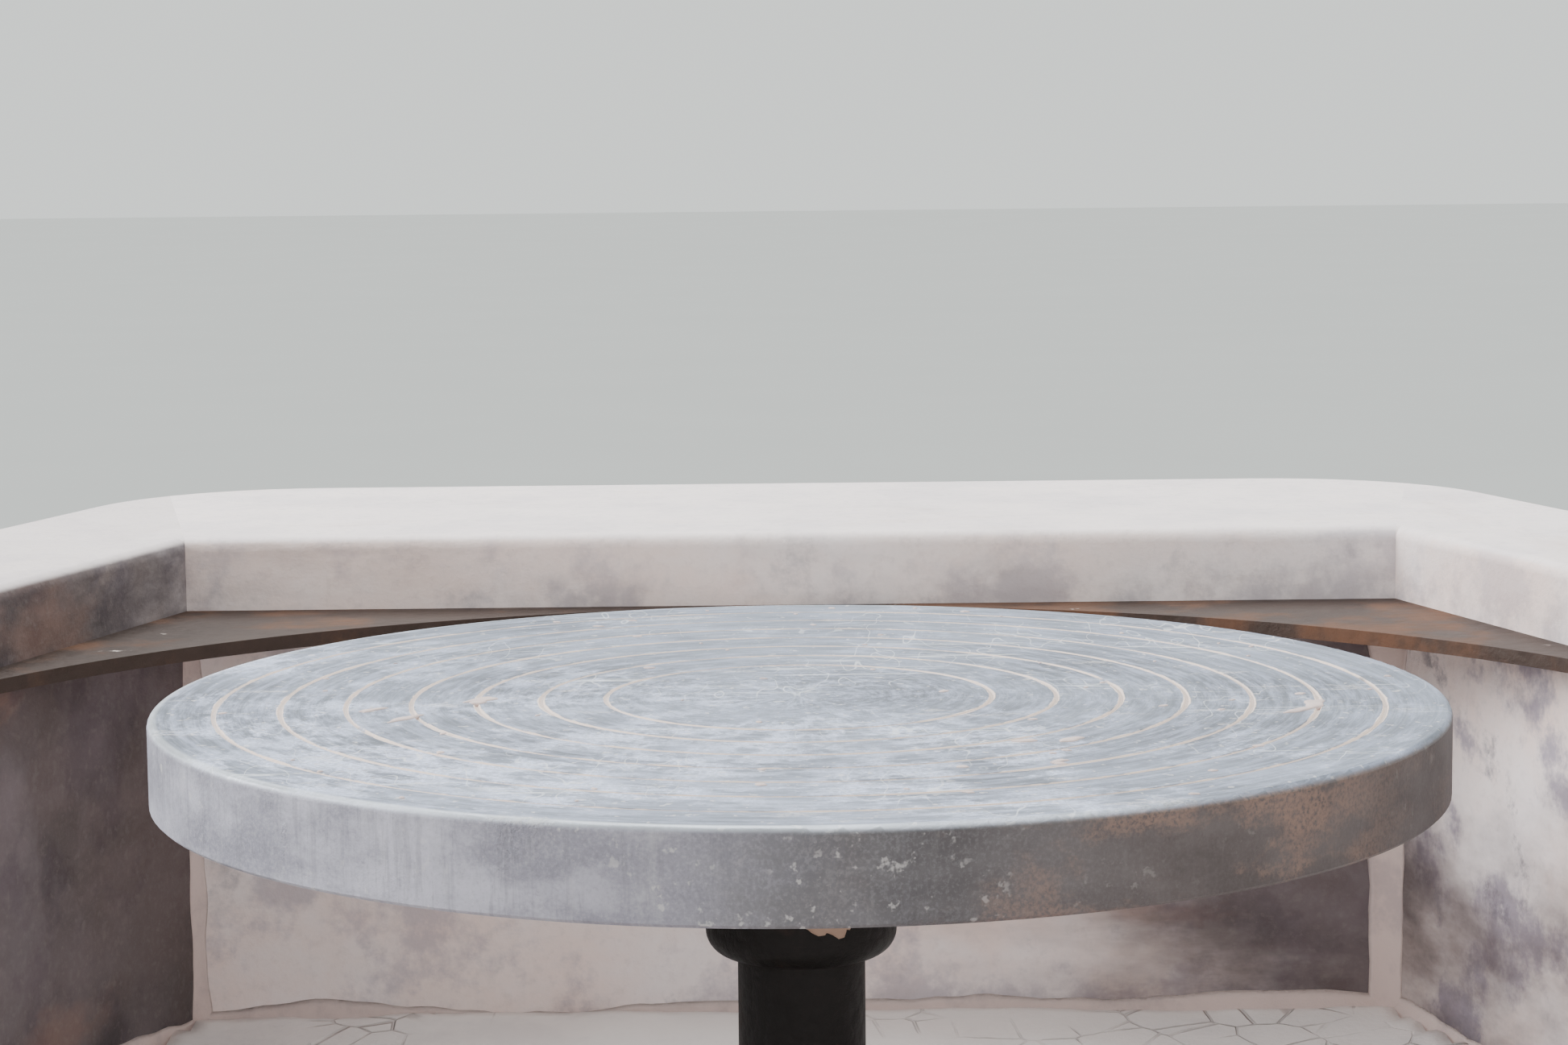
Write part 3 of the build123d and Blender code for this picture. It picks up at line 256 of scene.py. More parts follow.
# Places on the wheel head, in metres.
TOP_STARTS, TOP_FULL = 0.0014, 0.0002       # below the top: where its look takes over from the edge's
GROOVE_CORE, GROOVE_FADE = 0.00046, 0.00068 # half widths of the clay in a groove
GROOVE_SWELL = 0.00050                      # how much wider it gets in places
GROOVES_FADE, GROOVES_END = 0.92, 0.93      # share of the head's radius where the clay rings stop
FIRST_GROOVE_CLEAR, FIRST_GROOVE_FULL = 0.004, 0.003    # and how far inside the first groove they start
# The band where the painted highlight along the head's top edge lies.
ARRIS_HIGHLIGHT_OUT, ARRIS_HIGHLIGHT_IN = 0.0010, 0.0026        # the bright edge, in from the head's radius


def head_material():
    """Worn, turned aluminium under dried clay film. On its edge, -X is pale with film and painted light, and
    +X is brown, deepened with painted shade.
    """
    g = Graph("head_aluminium")
    radius, ux, uy, z = polar(g)
    x, y, _ = g.split(g.position)
    top = g.step(z, HEAD_TOP - TOP_STARTS, HEAD_TOP - TOP_FULL)

    def turned(fineness, around, *rest):
        """Noise drawn out along the turning: fine across it, long round it."""
        parts = (g.times(radius, fineness), g.times(ux, around), g.times(uy, around))
        return g.noise(g.join(*parts), 1.0, *rest)

    def hairlines(factors, offset, width):
        """Long thin lines: the middle contour of a drawn-out noise."""
        value = g.noise(g.scaled(g.position, factors, offset), 1.0, 1, 0.4)
        away = g.math("ABSOLUTE", g.minus(value, 0.5))
        return g.step(away, width, width * 0.3)

    def round_edge(around, up):
        """A place on the disc's edge, scaled round it and up it."""
        return g.join(g.times(ux, around), g.times(uy, around), g.times(z, up))

    # Worn, turned metal: fine rings, longer streaks, clouds and grain.
    rings = turned(2600.0, 3.0, 5, 0.65)
    streaks = turned(420.0, 5.0, 6, 0.72)
    clouds = g.noise(g.position, 19, 5, 0.6)
    grain = g.noise(g.position, 900, 3, 0.7)
    metal = g.mix(g.step(clouds, 0.36, 0.64), *HEAD_METAL)
    metal = g.layer(metal, HEAD_STREAK, g.step(streaks, 0.40, 0.66), 0.8)
    metal = g.layer(metal, HEAD_RING, g.step(rings, 0.45, 0.70), 0.30)
    metal = g.layer(metal, HEAD_GRAIN, g.step(grain, 0.52, 0.66), 0.30)
    # Dried white film, wiped round with the turning and thickest towards the potter; its blue-white tone and
    # its weight on the front-left are partly a painted reflection of the sky.
    towards = g.step(g.plus(g.times(x, 0.75), y), 0.070, -0.075)
    wiped = g.plus(turned(110.0, 7.0, 8, 0.76), g.times(towards, 0.070))
    film = g.times(g.step(wiped, 0.50, 0.64), g.step(g.noise(g.position, 17, 5, 0.66), 0.36, 0.58))
    film = g.times(film, g.blend(g.step(grain, 0.44, 0.60), 0.50, 1.0))
    film = g.times(film, g.blend(towards, 0.34, 1.0))
    colour = g.layer(metal, HEAD_FILM_AND_REFLECTION, film, 0.92)
    marks = g.noise(g.scaled(g.position, (34, 92, 34), (0.3, 0.1, 0)), 1.0, 7, 0.68)
    patches = g.times(g.step(marks, 0.59, 0.67), g.step(grain, 0.36, 0.52))
    colour = g.layer(colour, HEAD_PATCH, patches, 0.55)
    specks = g.step(g.noise(g.position, 420, 2, 0.5), 0.66, 0.72)
    colour = g.layer(colour, CLAY_PALE, specks, 0.5)
    sideways = hairlines((5, 160, 30), (0.2, 0.5, 0), 0.012)
    lines = g.math("MAXIMUM", sideways, hairlines((120, 42, 30), (1.4, 0, 0), 0.010))
    lines = g.times(lines, g.step(g.noise(g.position, 17, 3), 0.47, 0.60))
    colour = g.layer(colour, HEAD_HAIRLINE, lines, 0.55)
    # Clay held in the guide grooves: a thin line that swells, thins and breaks.
    across = g.minus(radius, FIRST_GROOVE_R - GROOVE_PITCH / 2)
    across = g.math("ABSOLUTE", g.minus(g.math("MODULO", across, GROOVE_PITCH), GROOVE_PITCH / 2))
    swell = g.times(g.step(g.noise(g.position, 47, 4, 0.7), 0.40, 0.74), GROOVE_SWELL)
    groove = g.step(g.minus(across, swell), GROOVE_FADE, GROOVE_CORE)
    past_first = g.step(radius, FIRST_GROOVE_R - FIRST_GROOVE_CLEAR, FIRST_GROOVE_R - FIRST_GROOVE_FULL)
    groove = g.times(groove, past_first)
    groove = g.times(groove, g.step(radius, HEAD_R * GROOVES_END, HEAD_R * GROOVES_FADE))
    groove = g.times(groove, g.step(g.noise(g.position, 70, 3, 0.6), 0.22, 0.36))
    colour = g.layer(colour, g.mix(grain, *GROOVE_CLAY), groove, 0.96)
    # The disc's edge: grainy grey with pale flecks; paler with film and painted light on -X, browner with
    # painted shade and smeared with tan clay on +X.
    salt = g.noise(g.position, 1150, 3, 0.66)
    side_cloud = g.noise(g.scaled(g.position, (30, 30, 60)), 1.0, 6, 0.66)
    side = g.mix(g.step(side_cloud, 0.32, 0.68), *EDGE_METAL)
    # The pale film on the -X side is partly painted light from that side.
    lit_film_side = g.step(g.plus(x, g.times(g.minus(side_cloud, 0.5), 0.10)), 0.012, -0.045)
    mottle = g.step(side_cloud, 0.34, 0.66)
    side = g.layer(side, g.mix(mottle, *EDGE_FILM_LIT), lit_film_side, 0.92)
    side = g.layer(side, EDGE_SALT, g.step(salt, 0.46, 0.66), g.blend(lit_film_side, 0.12, 0.26))
    side = g.layer(side, EDGE_PEPPER, g.step(salt, 0.46, 0.32), 0.16)
    wiped_on = g.step(g.noise(round_edge(16.0, 26.0), 1.0, 6, 0.66), 0.52, 0.74)
    side = g.layer(side, EDGE_WIPE, wiped_on, g.blend(lit_film_side, 0.16, 0.35))
    scratched = g.step(g.noise(round_edge(70.0, 40.0), 1.0, 6, 0.7), 0.50, 0.66)
    side = g.layer(side, EDGE_SCRATCH, scratched, 0.30)
    flecks = g.step(g.noise(g.position, 300, 3, 0.6), 0.60, 0.68)
    flecks = g.times(flecks, g.step(g.noise(g.position, 32, 3), 0.44, 0.58))
    side = g.layer(side, EDGE_FLECK, flecks, 0.58)
    # The +X half's dark brown is partly brown clay stain and partly painted shade.
    right = g.step(x, -0.010, 0.085)
    brown = g.mix(mottle, *EDGE_BROWN_SHADE)
    brown = g.layer(brown, EDGE_BROWN_SHADE_GRAIN, salt, 0.30)
    side = g.layer(side, brown, right, 0.84)
    tan = g.times(g.step(g.noise(round_edge(5.5, 62.0), 1.0, 7, 0.66), 0.46, 0.60), right)
    tan = g.times(tan, g.step(salt, 0.30, 0.60))
    tan = g.times(tan, g.blend(g.step(x, 0.104, 0.126), 1.0, 0.30))
    side = g.layer(side, EDGE_TAN, tan, 0.72)
    colour = g.mix(top, side, colour)
    # Painted highlight along the top edge, kept off the shaded +X side and broken up by the streaks.
    edge = g.times(g.step(radius, HEAD_R - ARRIS_HIGHLIGHT_IN, HEAD_R - ARRIS_HIGHLIGHT_OUT), top)
    edge = g.times(edge, g.step(x, 0.110, 0.020))
    colour = g.layer(colour, HEAD_ARRIS_HIGHLIGHT, edge, g.blend(streaks, 0.2, 0.9))
    clay = g.math("MAXIMUM", groove, g.math("MAXIMUM", g.times(film, 0.6), patches), clamp=True)
    rough = g.blend(clay, g.blend(rings, 0.40, 0.56), 0.86)
    rough = g.blend(top, 0.66, rough)
    metallic = g.blend(top, 0.15, g.blend(clay, 0.50, 0.0))
    height = g.plus(g.times(streaks, 0.5), g.times(clay, 0.6))
    height = g.plus(height, g.times(g.blend(top, salt, grain), 0.5))
    return g.finish(colour, rough, height, 0.00018, metallic)


def rusty_material(name, dark, rust, amount, scale=1.0, clay=0.0):
    """Steel with rust over some of it. amount and clay are how much rust and splashed clay show."""
    g = Graph(name)
    scale_noise = g.noise(g.position, 95 * scale, 8, 0.68)
    pits = g.cells(g.position, 260 * scale)
    patches = g.step(g.noise(g.position, 38 * scale, 6, 0.6), 0.62 - amount, 0.80 - amount)
    colour = g.mix(scale_noise, dark, tuple(c * 2.0 for c in dark))
    colour = g.layer(colour, rust, patches, g.blend(scale_noise, 0.3, 1.0))
    if clay:
        splash = g.step(g.noise(g.position, 70, 5, 0.62), 0.74 - clay, 0.80 - clay)
        colour = g.mix(splash, colour, CLAY)
    height = g.minus(g.times(scale_noise, 1.2), g.times(pits, 0.4))
    return g.finish(colour, g.blend(patches, 0.62, 0.92), height, 0.0009, g.blend(patches, 0.45, 0.0))


def grain_scale(grain, along, across):
    """Noise scales for a board: one along its grain's axis, one across it."""
    return tuple(along if axis == grain else across for axis in "xyz")


def slip_timber_material(name, timber_showing, seed, grain, lean, bloom):
    """Boards under dried slip. dirt is how much brown timber shows; lean adds to it along +X,
    per metre; grain is the board's axis; bloom is how strong the lilac blotches are."""
    g = Graph(f"slip_{name}")
    at = g.scaled(g.position, (1, 1, 1), (seed, seed * 0.7, seed * 0.3))
    stretch = grain_scale(grain, 9, 26)
    strokes = g.noise(g.scaled(at, stretch), 1.0, 7, 0.62)
    clouds = g.noise(at, 11, 6, 0.62)
    blotch = g.noise(at, 26, 6, 0.66)
    fine = g.noise(at, 260, 5, 0.68)
    up = g.facing_up()
    over_foot = g.minus(g.split(g.position)[2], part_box(name)[0].z)
    slip = g.mix(g.step(clouds, 0.38, 0.62), *SLIP)
    slip = g.layer(slip, SLIP_STROKE, g.step(strokes, 0.44, 0.68), 0.5)
    slip = g.layer(slip, SLIP_BLOOM, g.step(blotch, 0.49, 0.62), bloom)
    stain_and_foot_shade = g.times(g.step(g.noise(at, 37, 6, 0.7), 0.54, 0.66), g.step(clouds, 0.46, 0.56))
    # Painted shade along each board's foot, laid on together with the stains.
    foot_shade = g.times(g.step(over_foot, 0.016, 0.001), g.step(blotch, 0.42, 0.58))
    stain_and_foot_shade = g.math("MAXIMUM", stain_and_foot_shade, foot_shade)
    slip = g.layer(slip, SLIP_STAIN_AND_SHADE, stain_and_foot_shade, bloom * 0.8)
    # Where slip has worn away: brown, wet timber with lilac bloom and warm, bare fibres.
    timber = g.mix(g.step(strokes, 0.34, 0.68), *WET_TIMBER)
    timber = g.layer(timber, WET_TIMBER_BLOOM, g.step(clouds, 0.44, 0.66), 0.60)
    warm = g.step(g.noise(g.scaled(at, stretch, (1.3, 4.1, 2.2)), 0.8, 6, 0.60), 0.53, 0.70)
    timber = g.layer(timber, WET_TIMBER_WARM, warm, 0.55)
    # Painted shade: bare timber darker towards each board's foot.
    timber = g.layer(timber, WET_TIMBER_FOOT_SHADE, g.step(over_foot, 0.085, 0.020), 0.45 * min(1.0, timber_showing))
    middle = 0.70 - 0.42 * timber_showing         # the noise level at which slip gives way to timber
    reach = g.noise(g.scaled(at, stretch, (3.1, 1.7, 0.4)), 0.42, 7, 0.60)
    reach = g.plus(reach, g.times(g.split(g.position)[0], lean))
    worn = g.step(reach, middle - 0.14, middle + 0.14)
    slip = g.layer(slip, timber, worn, g.blend(fine, 0.86, 1.0))
    # Slip dries thick and clean on upward faces.
    pale = g.mix(g.step(blotch, 0.38, 0.70), *SLIP_ON_TOP)
    pale = g.layer(pale, SLIP_ON_TOP_STROKE, g.step(strokes, 0.54, 0.72), 0.45)
    colour = g.layer(slip, pale, up, g.blend(worn, 0.95, 0.80))
    colour = g.layer(colour, SLIP_GRIT, g.step(fine, 0.50, 0.70), 0.16)
    height = g.plus(g.times(strokes, 0.5), g.times(fine, 0.3))
    height = g.minus(height, g.times(worn, 0.35))
    return g.finish(colour, 0.90, height, 0.0012)


RING_CONTOURS = 46.0


def frame_timber_material(name, grain, seed):
    """Oiled, worn softwood with growth rings, knots, grime and splashes of slip."""
    g = Graph(name)
    at = g.scaled(g.position, (1, 1, 1), (seed, seed * 0.6, seed * 0.9))
    fibres = g.noise(g.scaled(at, grain_scale(grain, 2.2, 60)), 2.6, 6, 0.66, 0.2)
    # Growth rings: the contours of a noise drawn out along the grain.
    figure = g.noise(g.scaled(at, grain_scale(grain, 1.0, 14)), 1.6, 3, 0.5, 1.1)
    bands = g.step(g.math("SINE", g.times(figure, RING_CONTOURS)), -0.6, 0.9)
    colour = g.mix(bands, *FRAME_TIMBER)
    colour = g.layer(colour, FRAME_FIBRE, g.step(fibres, 0.36, 0.66), 0.45)
    knots = g.step(g.cells(g.scaled(at, grain_scale(grain, 3, 9)), 1.0), 0.11, 0.05)
    colour = g.layer(colour, FRAME_KNOT, knots, 0.85)
    worn = g.step(g.noise(at, 7, 5, 0.6), 0.48, 0.72)
    colour = g.layer(colour, FRAME_WORN, worn, 0.50)
    grime = g.step(g.noise(at, 4.2, 6, 0.66), 0.50, 0.66)
    colour = g.layer(colour, FRAME_GRIME, grime, 0.45)
    # Dried slip: a haze on upward faces, and splashes.
    up = g.facing_up()
    haze = g.times(up, g.step(g.noise(at, 13, 6, 0.66), 0.42, 0.70))
    splash = g.step(g.noise(at, 85, 3, 0.5), 0.715, 0.745)
    slip = g.math("MAXIMUM", g.times(haze, 0.6), splash, clamp=True)
    colour = g.layer(colour, FRAME_SLIP, slip, g.blend(fibres, 0.60, 1.0))
    height = g.plus(g.times(fibres, 1.0), g.times(slip, 0.5))
    return g.finish(colour, g.blend(slip, g.blend(worn, 0.50, 0.68), 0.9), height, 0.0007)


def concrete_material():
    """Cast concrete with sand, stones and pits."""
    g = Graph("concrete")
    clouds = g.noise(g.position, 9, 6, 0.62)
    sand = g.noise(g.position, 420, 4, 0.7)
    stones = g.cells(g.position, 85)
    colour = g.mix(clouds, *CONCRETE)
    colour = g.layer(colour, CONCRETE_STONE, g.step(stones, 0.30, 0.16), 0.35)
    colour = g.layer(colour, CONCRETE_SAND, sand, 0.3)
    pits = g.step(g.cells(g.position, 150), 0.12, 0.06)
    colour = g.layer(colour, CONCRETE_PIT, pits, 0.7)
    splash = g.step(g.noise(g.position, 42, 4, 0.58), 0.66, 0.69)
    colour = g.layer(colour, CLAY_PALE, splash, 0.85)
    height = g.minus(g.times(sand, 0.5), g.times(pits, 1.4))
    return g.finish(colour, 0.9, height, 0.0009)


def rubber_material(name, tone, dust):
    """Dark rubber; dust is how much dried clay lies on it."""
    g = Graph(name)
    grain = g.noise(g.position, 600, 3, 0.6)
    film = g.step(g.noise(g.position, 17, 6, 0.66), 0.60 - dust, 0.86 - dust)
    colour = g.mix(grain, tuple(c * 0.8 for c in tone), tuple(c * 1.5 for c in tone))
    colour = g.layer(colour, RUBBER_DUST, film, 0.6)
    return g.finish(colour, g.blend(film, 0.55, 0.86), grain, 0.0002)


def iron_material():
    """Sand-cast iron under worn machine paint."""
    g = Graph("cast_iron")
    sand = g.noise(g.position, 520, 4, 0.65)
    lumps = g.noise(g.position, 70, 4, 0.6)
    chipped = g.step(g.noise(g.position, 48, 7, 0.66), 0.60, 0.64)
    colour = g.mix(lumps, *PAINT)
    colour = g.mix(chipped, colour, g.mix(sand, *BARE_IRON))
    splash = g.step(g.noise(g.position, 110, 3, 0.5), 0.70, 0.73)
    colour = g.mix(splash, colour, CLAY)
    height = g.minus(g.times(sand, 0.6), g.times(chipped, 0.8))
    return g.finish(colour, g.blend(chipped, 0.42, 0.82), height, 0.0006, g.blend(chipped, 0.0, 0.3))


def plated_material(name, tone, rough, spots, metal=0.95):
    """Bright metal with a faint spangle; spots is how much of it has rusted."""
    g = Graph(name)
    spangle = g.cells(g.position, 130, output="Color")
    value = g.noise(g.position, 160, 4, 0.6)
    colour = g.mix(value, tuple(c * 0.72 for c in tone), tone)
    colour = g.layer(colour, tuple(min(1, c * 1.3) for c in tone), g.split(spangle)[0], 0.18)
    rust = g.step(g.noise(g.position, 120, 6, 0.66), 0.74 - spots, 0.84 - spots)
    colour = g.layer(colour, RUST_SPOT, rust, 0.85)
    return g.finish(colour, g.blend(rust, g.blend(value, rough, rough + 0.16), 0.9), value, 0.0002,
                    g.blend(rust, metal, 0.1))


def clay_material(name, tone, crack):
    """Dried clay, cracked like mud where crack is true."""
    g = Graph(name)
    clouds = g.noise(g.position, 26, 6, 0.62)
    fine = g.noise(g.position, 320, 5, 0.62)
    colour = g.mix(clouds, tuple(c * 0.88 for c in tone), tuple(min(1, c * 1.08) for c in tone))
    soiled = g.step(g.noise(g.position, 31, 6, 0.66), 0.48, 0.64)
    lilac = tuple(c * share for c, share in zip(tone, (0.52, 0.53, 0.60)))
    colour = g.layer(colour, lilac, soiled, 0.12 if crack else 0.45)
    height = g.times(fine, 0.5)
    if crack:
        warped = g.scaled(g.position, (1, 1, 0.2))
        lines = g.step(g.cells(warped, 58, "DISTANCE_TO_EDGE"), 0.030, 0.006)
        lines = g.times(lines, g.step(g.noise(g.position, 9, 5, 0.6), 0.50, 0.62))
        colour = g.layer(colour, CLAY_CRACK, lines, 0.34)
        height = g.minus(height, g.times(lines, 1.5))
    return g.finish(colour, 0.92, height, 0.0009)


# ---- Materials onto the CAD nodes -------------------------------------------------------------
def dress(names, material):
    """Gives CAD nodes one material."""
    for name in names:
        slots = nodes[name].data.materials
        slots.clear()
        slots.append(material)


dress(["wheel_head"], head_material())
dress(["head_hub", "wheel_shaft"],
      rusty_material("rusty_steel", (0.0055, 0.0045, 0.004), (0.045, 0.020, 0.012), 0.08))
dress(["rim_ledge"],
      rusty_material("rusty_sheet", (0.035, 0.022, 0.017), (0.155, 0.068, 0.034), 0.16, 0.7, 0.04))
dress(["flywheel_band", "flywheel_clamp_plate"],
      rusty_material("rusty_band", (0.045, 0.036, 0.032), (0.19, 0.085, 0.042), 0.08, 0.5, 0.02))
# For each board: how much dark timber shows through the slip, its grain, how the wear leans towards +X, and
# its lilac bloom.
slip_boards = {
    "rim_board_back": (0.10, "x", -0.15, 0.36),
    # The left boards show far more dark timber than the right ones, so the tray's left side is darker.
    "rim_board_left": (0.92, "y", 0.0, 0.70),
    "rim_board_right": (0.08, "y", 0.0, 0.30),
    "tray_wall_back": (0.30, "x", 0.95, 0.50),
    "tray_wall_left": (1.35, "y", 0.0, 0.70),
    "tray_wall_right": (0.46, "y", 0.0, 0.88),
    "tray_wall_front": (0.30, "x", 0.0, 0.70),
    "tray_wall_front_left": (0.36, "y", 0.0, 0.70),
    "tray_wall_front_right": (0.30, "y", 0.0, 0.70),
    "front_capping": (0.25, "x", 0.0, 0.70),
    "tray_floor": (0.20, "x", 0.0, 0.70),
}
for seed, (name, (timber_showing, grain, lean, bloom)) in enumerate(slip_boards.items()):
    dress([name], slip_timber_material(name, timber_showing, 1.7 + seed * 2.3, grain, lean, bloom))
timbers = {
    "z": ["back_legs", "middle_legs", "seat_legs", "tray_corner_cleats", "rim_brackets"],
    "y": ["upper_side_rails", "side_stretchers", "base_side_rails", "seat_supports", "footrests",
          "footrest_wedges"],
    "x": ["foot_beam", "bearing_beam", "tray_joists", "base_cross_rails", "seat_board"],
}
for grain, names in timbers.items():
    for index, name in enumerate(names):
        dress([name], frame_timber_material(f"timber_{name}", grain, 0.9 + index * 1.9))
dress(["flywheel_disc"], concrete_material())
dress(["flywheel_tread"], rubber_material("tread_rubber", (0.022, 0.022, 0.022), 0.08))
dress(["water_slinger", "drain_plug"], rubber_material("rubber", (0.020, 0.019, 0.019), 0.14))
dress(["bearing_seals"], rubber_material("seal_rubber", (0.012, 0.012, 0.012), 0.0))
dress(["flywheel_hub", "bearing_housing", "foot_bearing_housing"], iron_material())
dress(["bearing_inner_ring", "bearing_outer_ring", "bearing_balls", "thrust_ball"],
      plated_material("bearing_steel", (0.60, 0.61, 0.63), 0.18, 0.0, 1.0))
dress(["bearing_cage", "foot_bearing_bush", "grease_nipple"],
      plated_material("brass", (0.66, 0.47, 0.20), 0.30, 0.0, 1.0))
dress(["hub_screws", "flywheel_bolts", "flywheel_nuts", "flywheel_key", "set_screws", "bearing_screws",
       "frame_bolts", "frame_nuts", "cross_screws"], plated_material("zinc", (0.50, 0.51, 0.52), 0.38, 0.10))
dress(["shaft_upstand", "drain_tube"], plated_material("galvanised", (0.46, 0.48, 0.49), 0.44, 0.05))


# ---- Pieces made here: dried clay, and the flywheel tread's ribs ------------------------------
def corner(before, after, reach):
    """Where two tray sides meet, at one distance from the axis."""
    a, b = math.radians(SIDE_ANGLES[before]), math.radians(SIDE_ANGLES[after])
    det = math.sin(b - a)
    x = reach * (math.sin(b) - math.sin(a)) / det
    y = reach * (math.cos(a) - math.cos(b)) / det
    return Vector((x, y, 0))


def new_piece(name, mesh_maker, material, body):
    """A mesh object filled by mesh_maker, riding on a CAD body."""
    mesh = bpy.data.meshes.new(name)
    build = bmesh.new()
    mesh_maker(build)
    bmesh.ops.recalc_face_normals(build, faces=build.faces)
    build.to_mesh(mesh)
    build.free()
    for face in mesh.polygons:
        face.use_smooth = True
    mesh.materials.append(material)
    piece = bpy.data.objects.new(name, mesh)
    bpy.context.scene.collection.objects.link(piece)
    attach(piece, body)
    return piece


def ring_faces(build, rows):
    """Joins rings of vertices, each to the next, into quads."""
    width = len(rows[0])
    for a, b in zip(rows, rows[1:]):
        for j in range(width):
            build.faces.new((a[j], b[j], b[(j + 1) % width], a[(j + 1) % width]))


def strip_along(build, path, section):
    """A closed solid along path. section(t, place) gives the outline, as steps away from place."""
    rows = []
    for i, place in enumerate(path):
        rows.append([build.verts.new(place + offset) for offset in section(i / (len(path) - 1), place)])
    ring_faces(build, rows)
    build.faces.new(rows[0])
    build.faces.new(list(reversed(rows[-1])))


SINK = 0.0006               # how far a piece goes into what it sticks to
FILLET_SEGMENTS = 7
FILLET_WANDER = 0.45        # share of its size by which a fillet swells and thins
FILLET_GRAIN = 0.0012
FILLET_LUMP = 0.10


def fillet_section(arm_a, arm_b, size, seed):
    """A hollow-cornered wedge between two walls whose size wanders along its length."""
    inward = (arm_a + arm_b).normalized()

    def section(_, place):
        reach = size * (1 + FILLET_WANDER * noise.noise(place * 22 + Vector((seed, 0, 0))))
        reach += FILLET_GRAIN * noise.noise(place * 95 + Vector((0, seed, 0)))
        points = [-inward * SINK]
        for k in range(FILLET_SEGMENTS + 1):
            turn = math.pi / 2 * k / FILLET_SEGMENTS
            hollow = (1 - math.sin(turn)) * arm_a + (1 - math.cos(turn)) * arm_b
            lump = FILLET_LUMP * size * noise.noise(place * 60 + Vector((0, 0, k * 0.7 + seed)))
            points.append(hollow * reach + inward * lump * math.sin(2 * turn))
        return points

    return section


def evenly(start, end, step):
    """Places from start to end, about step apart."""
    count = max(2, round((end - start).length / step))
    return [start.lerp(end, i / count) for i in range(count + 1)]


HIGH_CORNERS = [("back", "left"), ("right", "back")]
LOW_CORNERS = [("left", "front_left"), ("front_left", "front"), ("front", "front_right"),
               ("front_right", "right")]
THICK_CORNER = ("right", "back")
CORNER_CLAY = 0.0065
THIN_CORNER_SHARE = 0.55
CORNER_CLAY_DROP = 0.004    # how far under the front walls' tops it ends
FLOOR_CLAY = 0.009
STEP = 0.004


def make_corner_clay(build):
    """Slip that has filled the tray's upright corners."""
    for index, (before, after) in enumerate(HIGH_CORNERS + LOW_CORNERS):
        at = corner(before, after, WALL_INNER)
        top = LEDGE_BOTTOM if (before, after) in HIGH_CORNERS else FRONT_TOP - CORNER_CLAY_DROP
        arms = []
        for side in (before, after):
            angle = math.radians(SIDE_ANGLES[side])
            along = Vector((-math.sin(angle), math.cos(angle), 0))
            arms.append(along if along.dot(at) < 0 else -along)
        low = at + Vector((0, 0, FLOOR_TOP - SINK))
        path = evenly(low, at + Vector((0, 0, top)), STEP)
        size = CORNER_CLAY if (before, after) == THICK_CORNER else CORNER_CLAY * THIN_CORNER_SHARE
        strip_along(build, path, fillet_section(arms[0], arms[1], size, 3.1 * index))


def make_floor_clay(build):
    """Slip along the foot of every wall."""
    sides = list(SIDE_ANGLES)
    for index, side in enumerate(sides):
        start = corner(sides[index - 1], side, WALL_INNER)
        end = corner(side, sides[(index + 1) % len(sides)], WALL_INNER)
        angle = math.radians(SIDE_ANGLES[side])
        inward = Vector((-math.cos(angle), -math.sin(angle), 0))
        lift = Vector((0, 0, FLOOR_TOP))
        path = evenly(start + lift, end + lift, STEP)
        strip_along(build, path, fillet_section(inward, Vector((0, 0, 1)), FLOOR_CLAY, 7.7 + 2.3 * index))


def inside_tray(x, y):
    """How far a point is inside the walls: negative is outside."""
    turns = [math.radians(angle) for angle in SIDE_ANGLES.values()]
    return min(WALL_INNER - x * math.cos(a) - y * math.sin(a) for a in turns)


DRAIN_CENTRE = (DRAIN_LOW + DRAIN_HIGH) / 2
DRAIN_FLANGE_R = (DRAIN_HIGH.x - DRAIN_LOW.x) / 2
BARE_SPOTS = [(Vector((0, 0, 0)), UPSTAND_FLANGE_R),
              (Vector((DRAIN_CENTRE.x, DRAIN_CENTRE.y, 0)), DRAIN_FLANGE_R)]
BARE_MARGIN, BARE_RAMP = 0.004, 0.012       # how far round a flange slip starts, and reaches its depth
SLIP_BASE = 0.0020
SLIP_LUMPS = [(0.0016, 14), (0.0009, 47), (0.0003, 150)]    # height, and lumps per metre
SLIP_BANK, SLIP_BANK_REACH = 0.0040, 0.07   # extra depth at the walls' feet, and how far in it goes
SLIP_CELL = 0.005
SLIP_LEAST = 0.0003
SLIP_REACH = 0.33
WALL_OVERLAP = 0.002


def slip_depth(x, y):
    """The dried slip's depth on the tray's floor: deep at the edges, thin round the pipe and drain."""
    at = Vector((x, y, 0))
    depth = SLIP_BASE
    for height, pitch in SLIP_LUMPS:
        depth += height * noise.noise(at * pitch)
    depth += SLIP_BANK * max(0.0, 1 - inside_tray(x, y) / SLIP_BANK_REACH) ** 2
    for centre, radius in BARE_SPOTS:
        clear = (at - centre).length - radius - BARE_MARGIN
        depth *= min(1.0, max(0.0, clear / BARE_RAMP))
    return depth


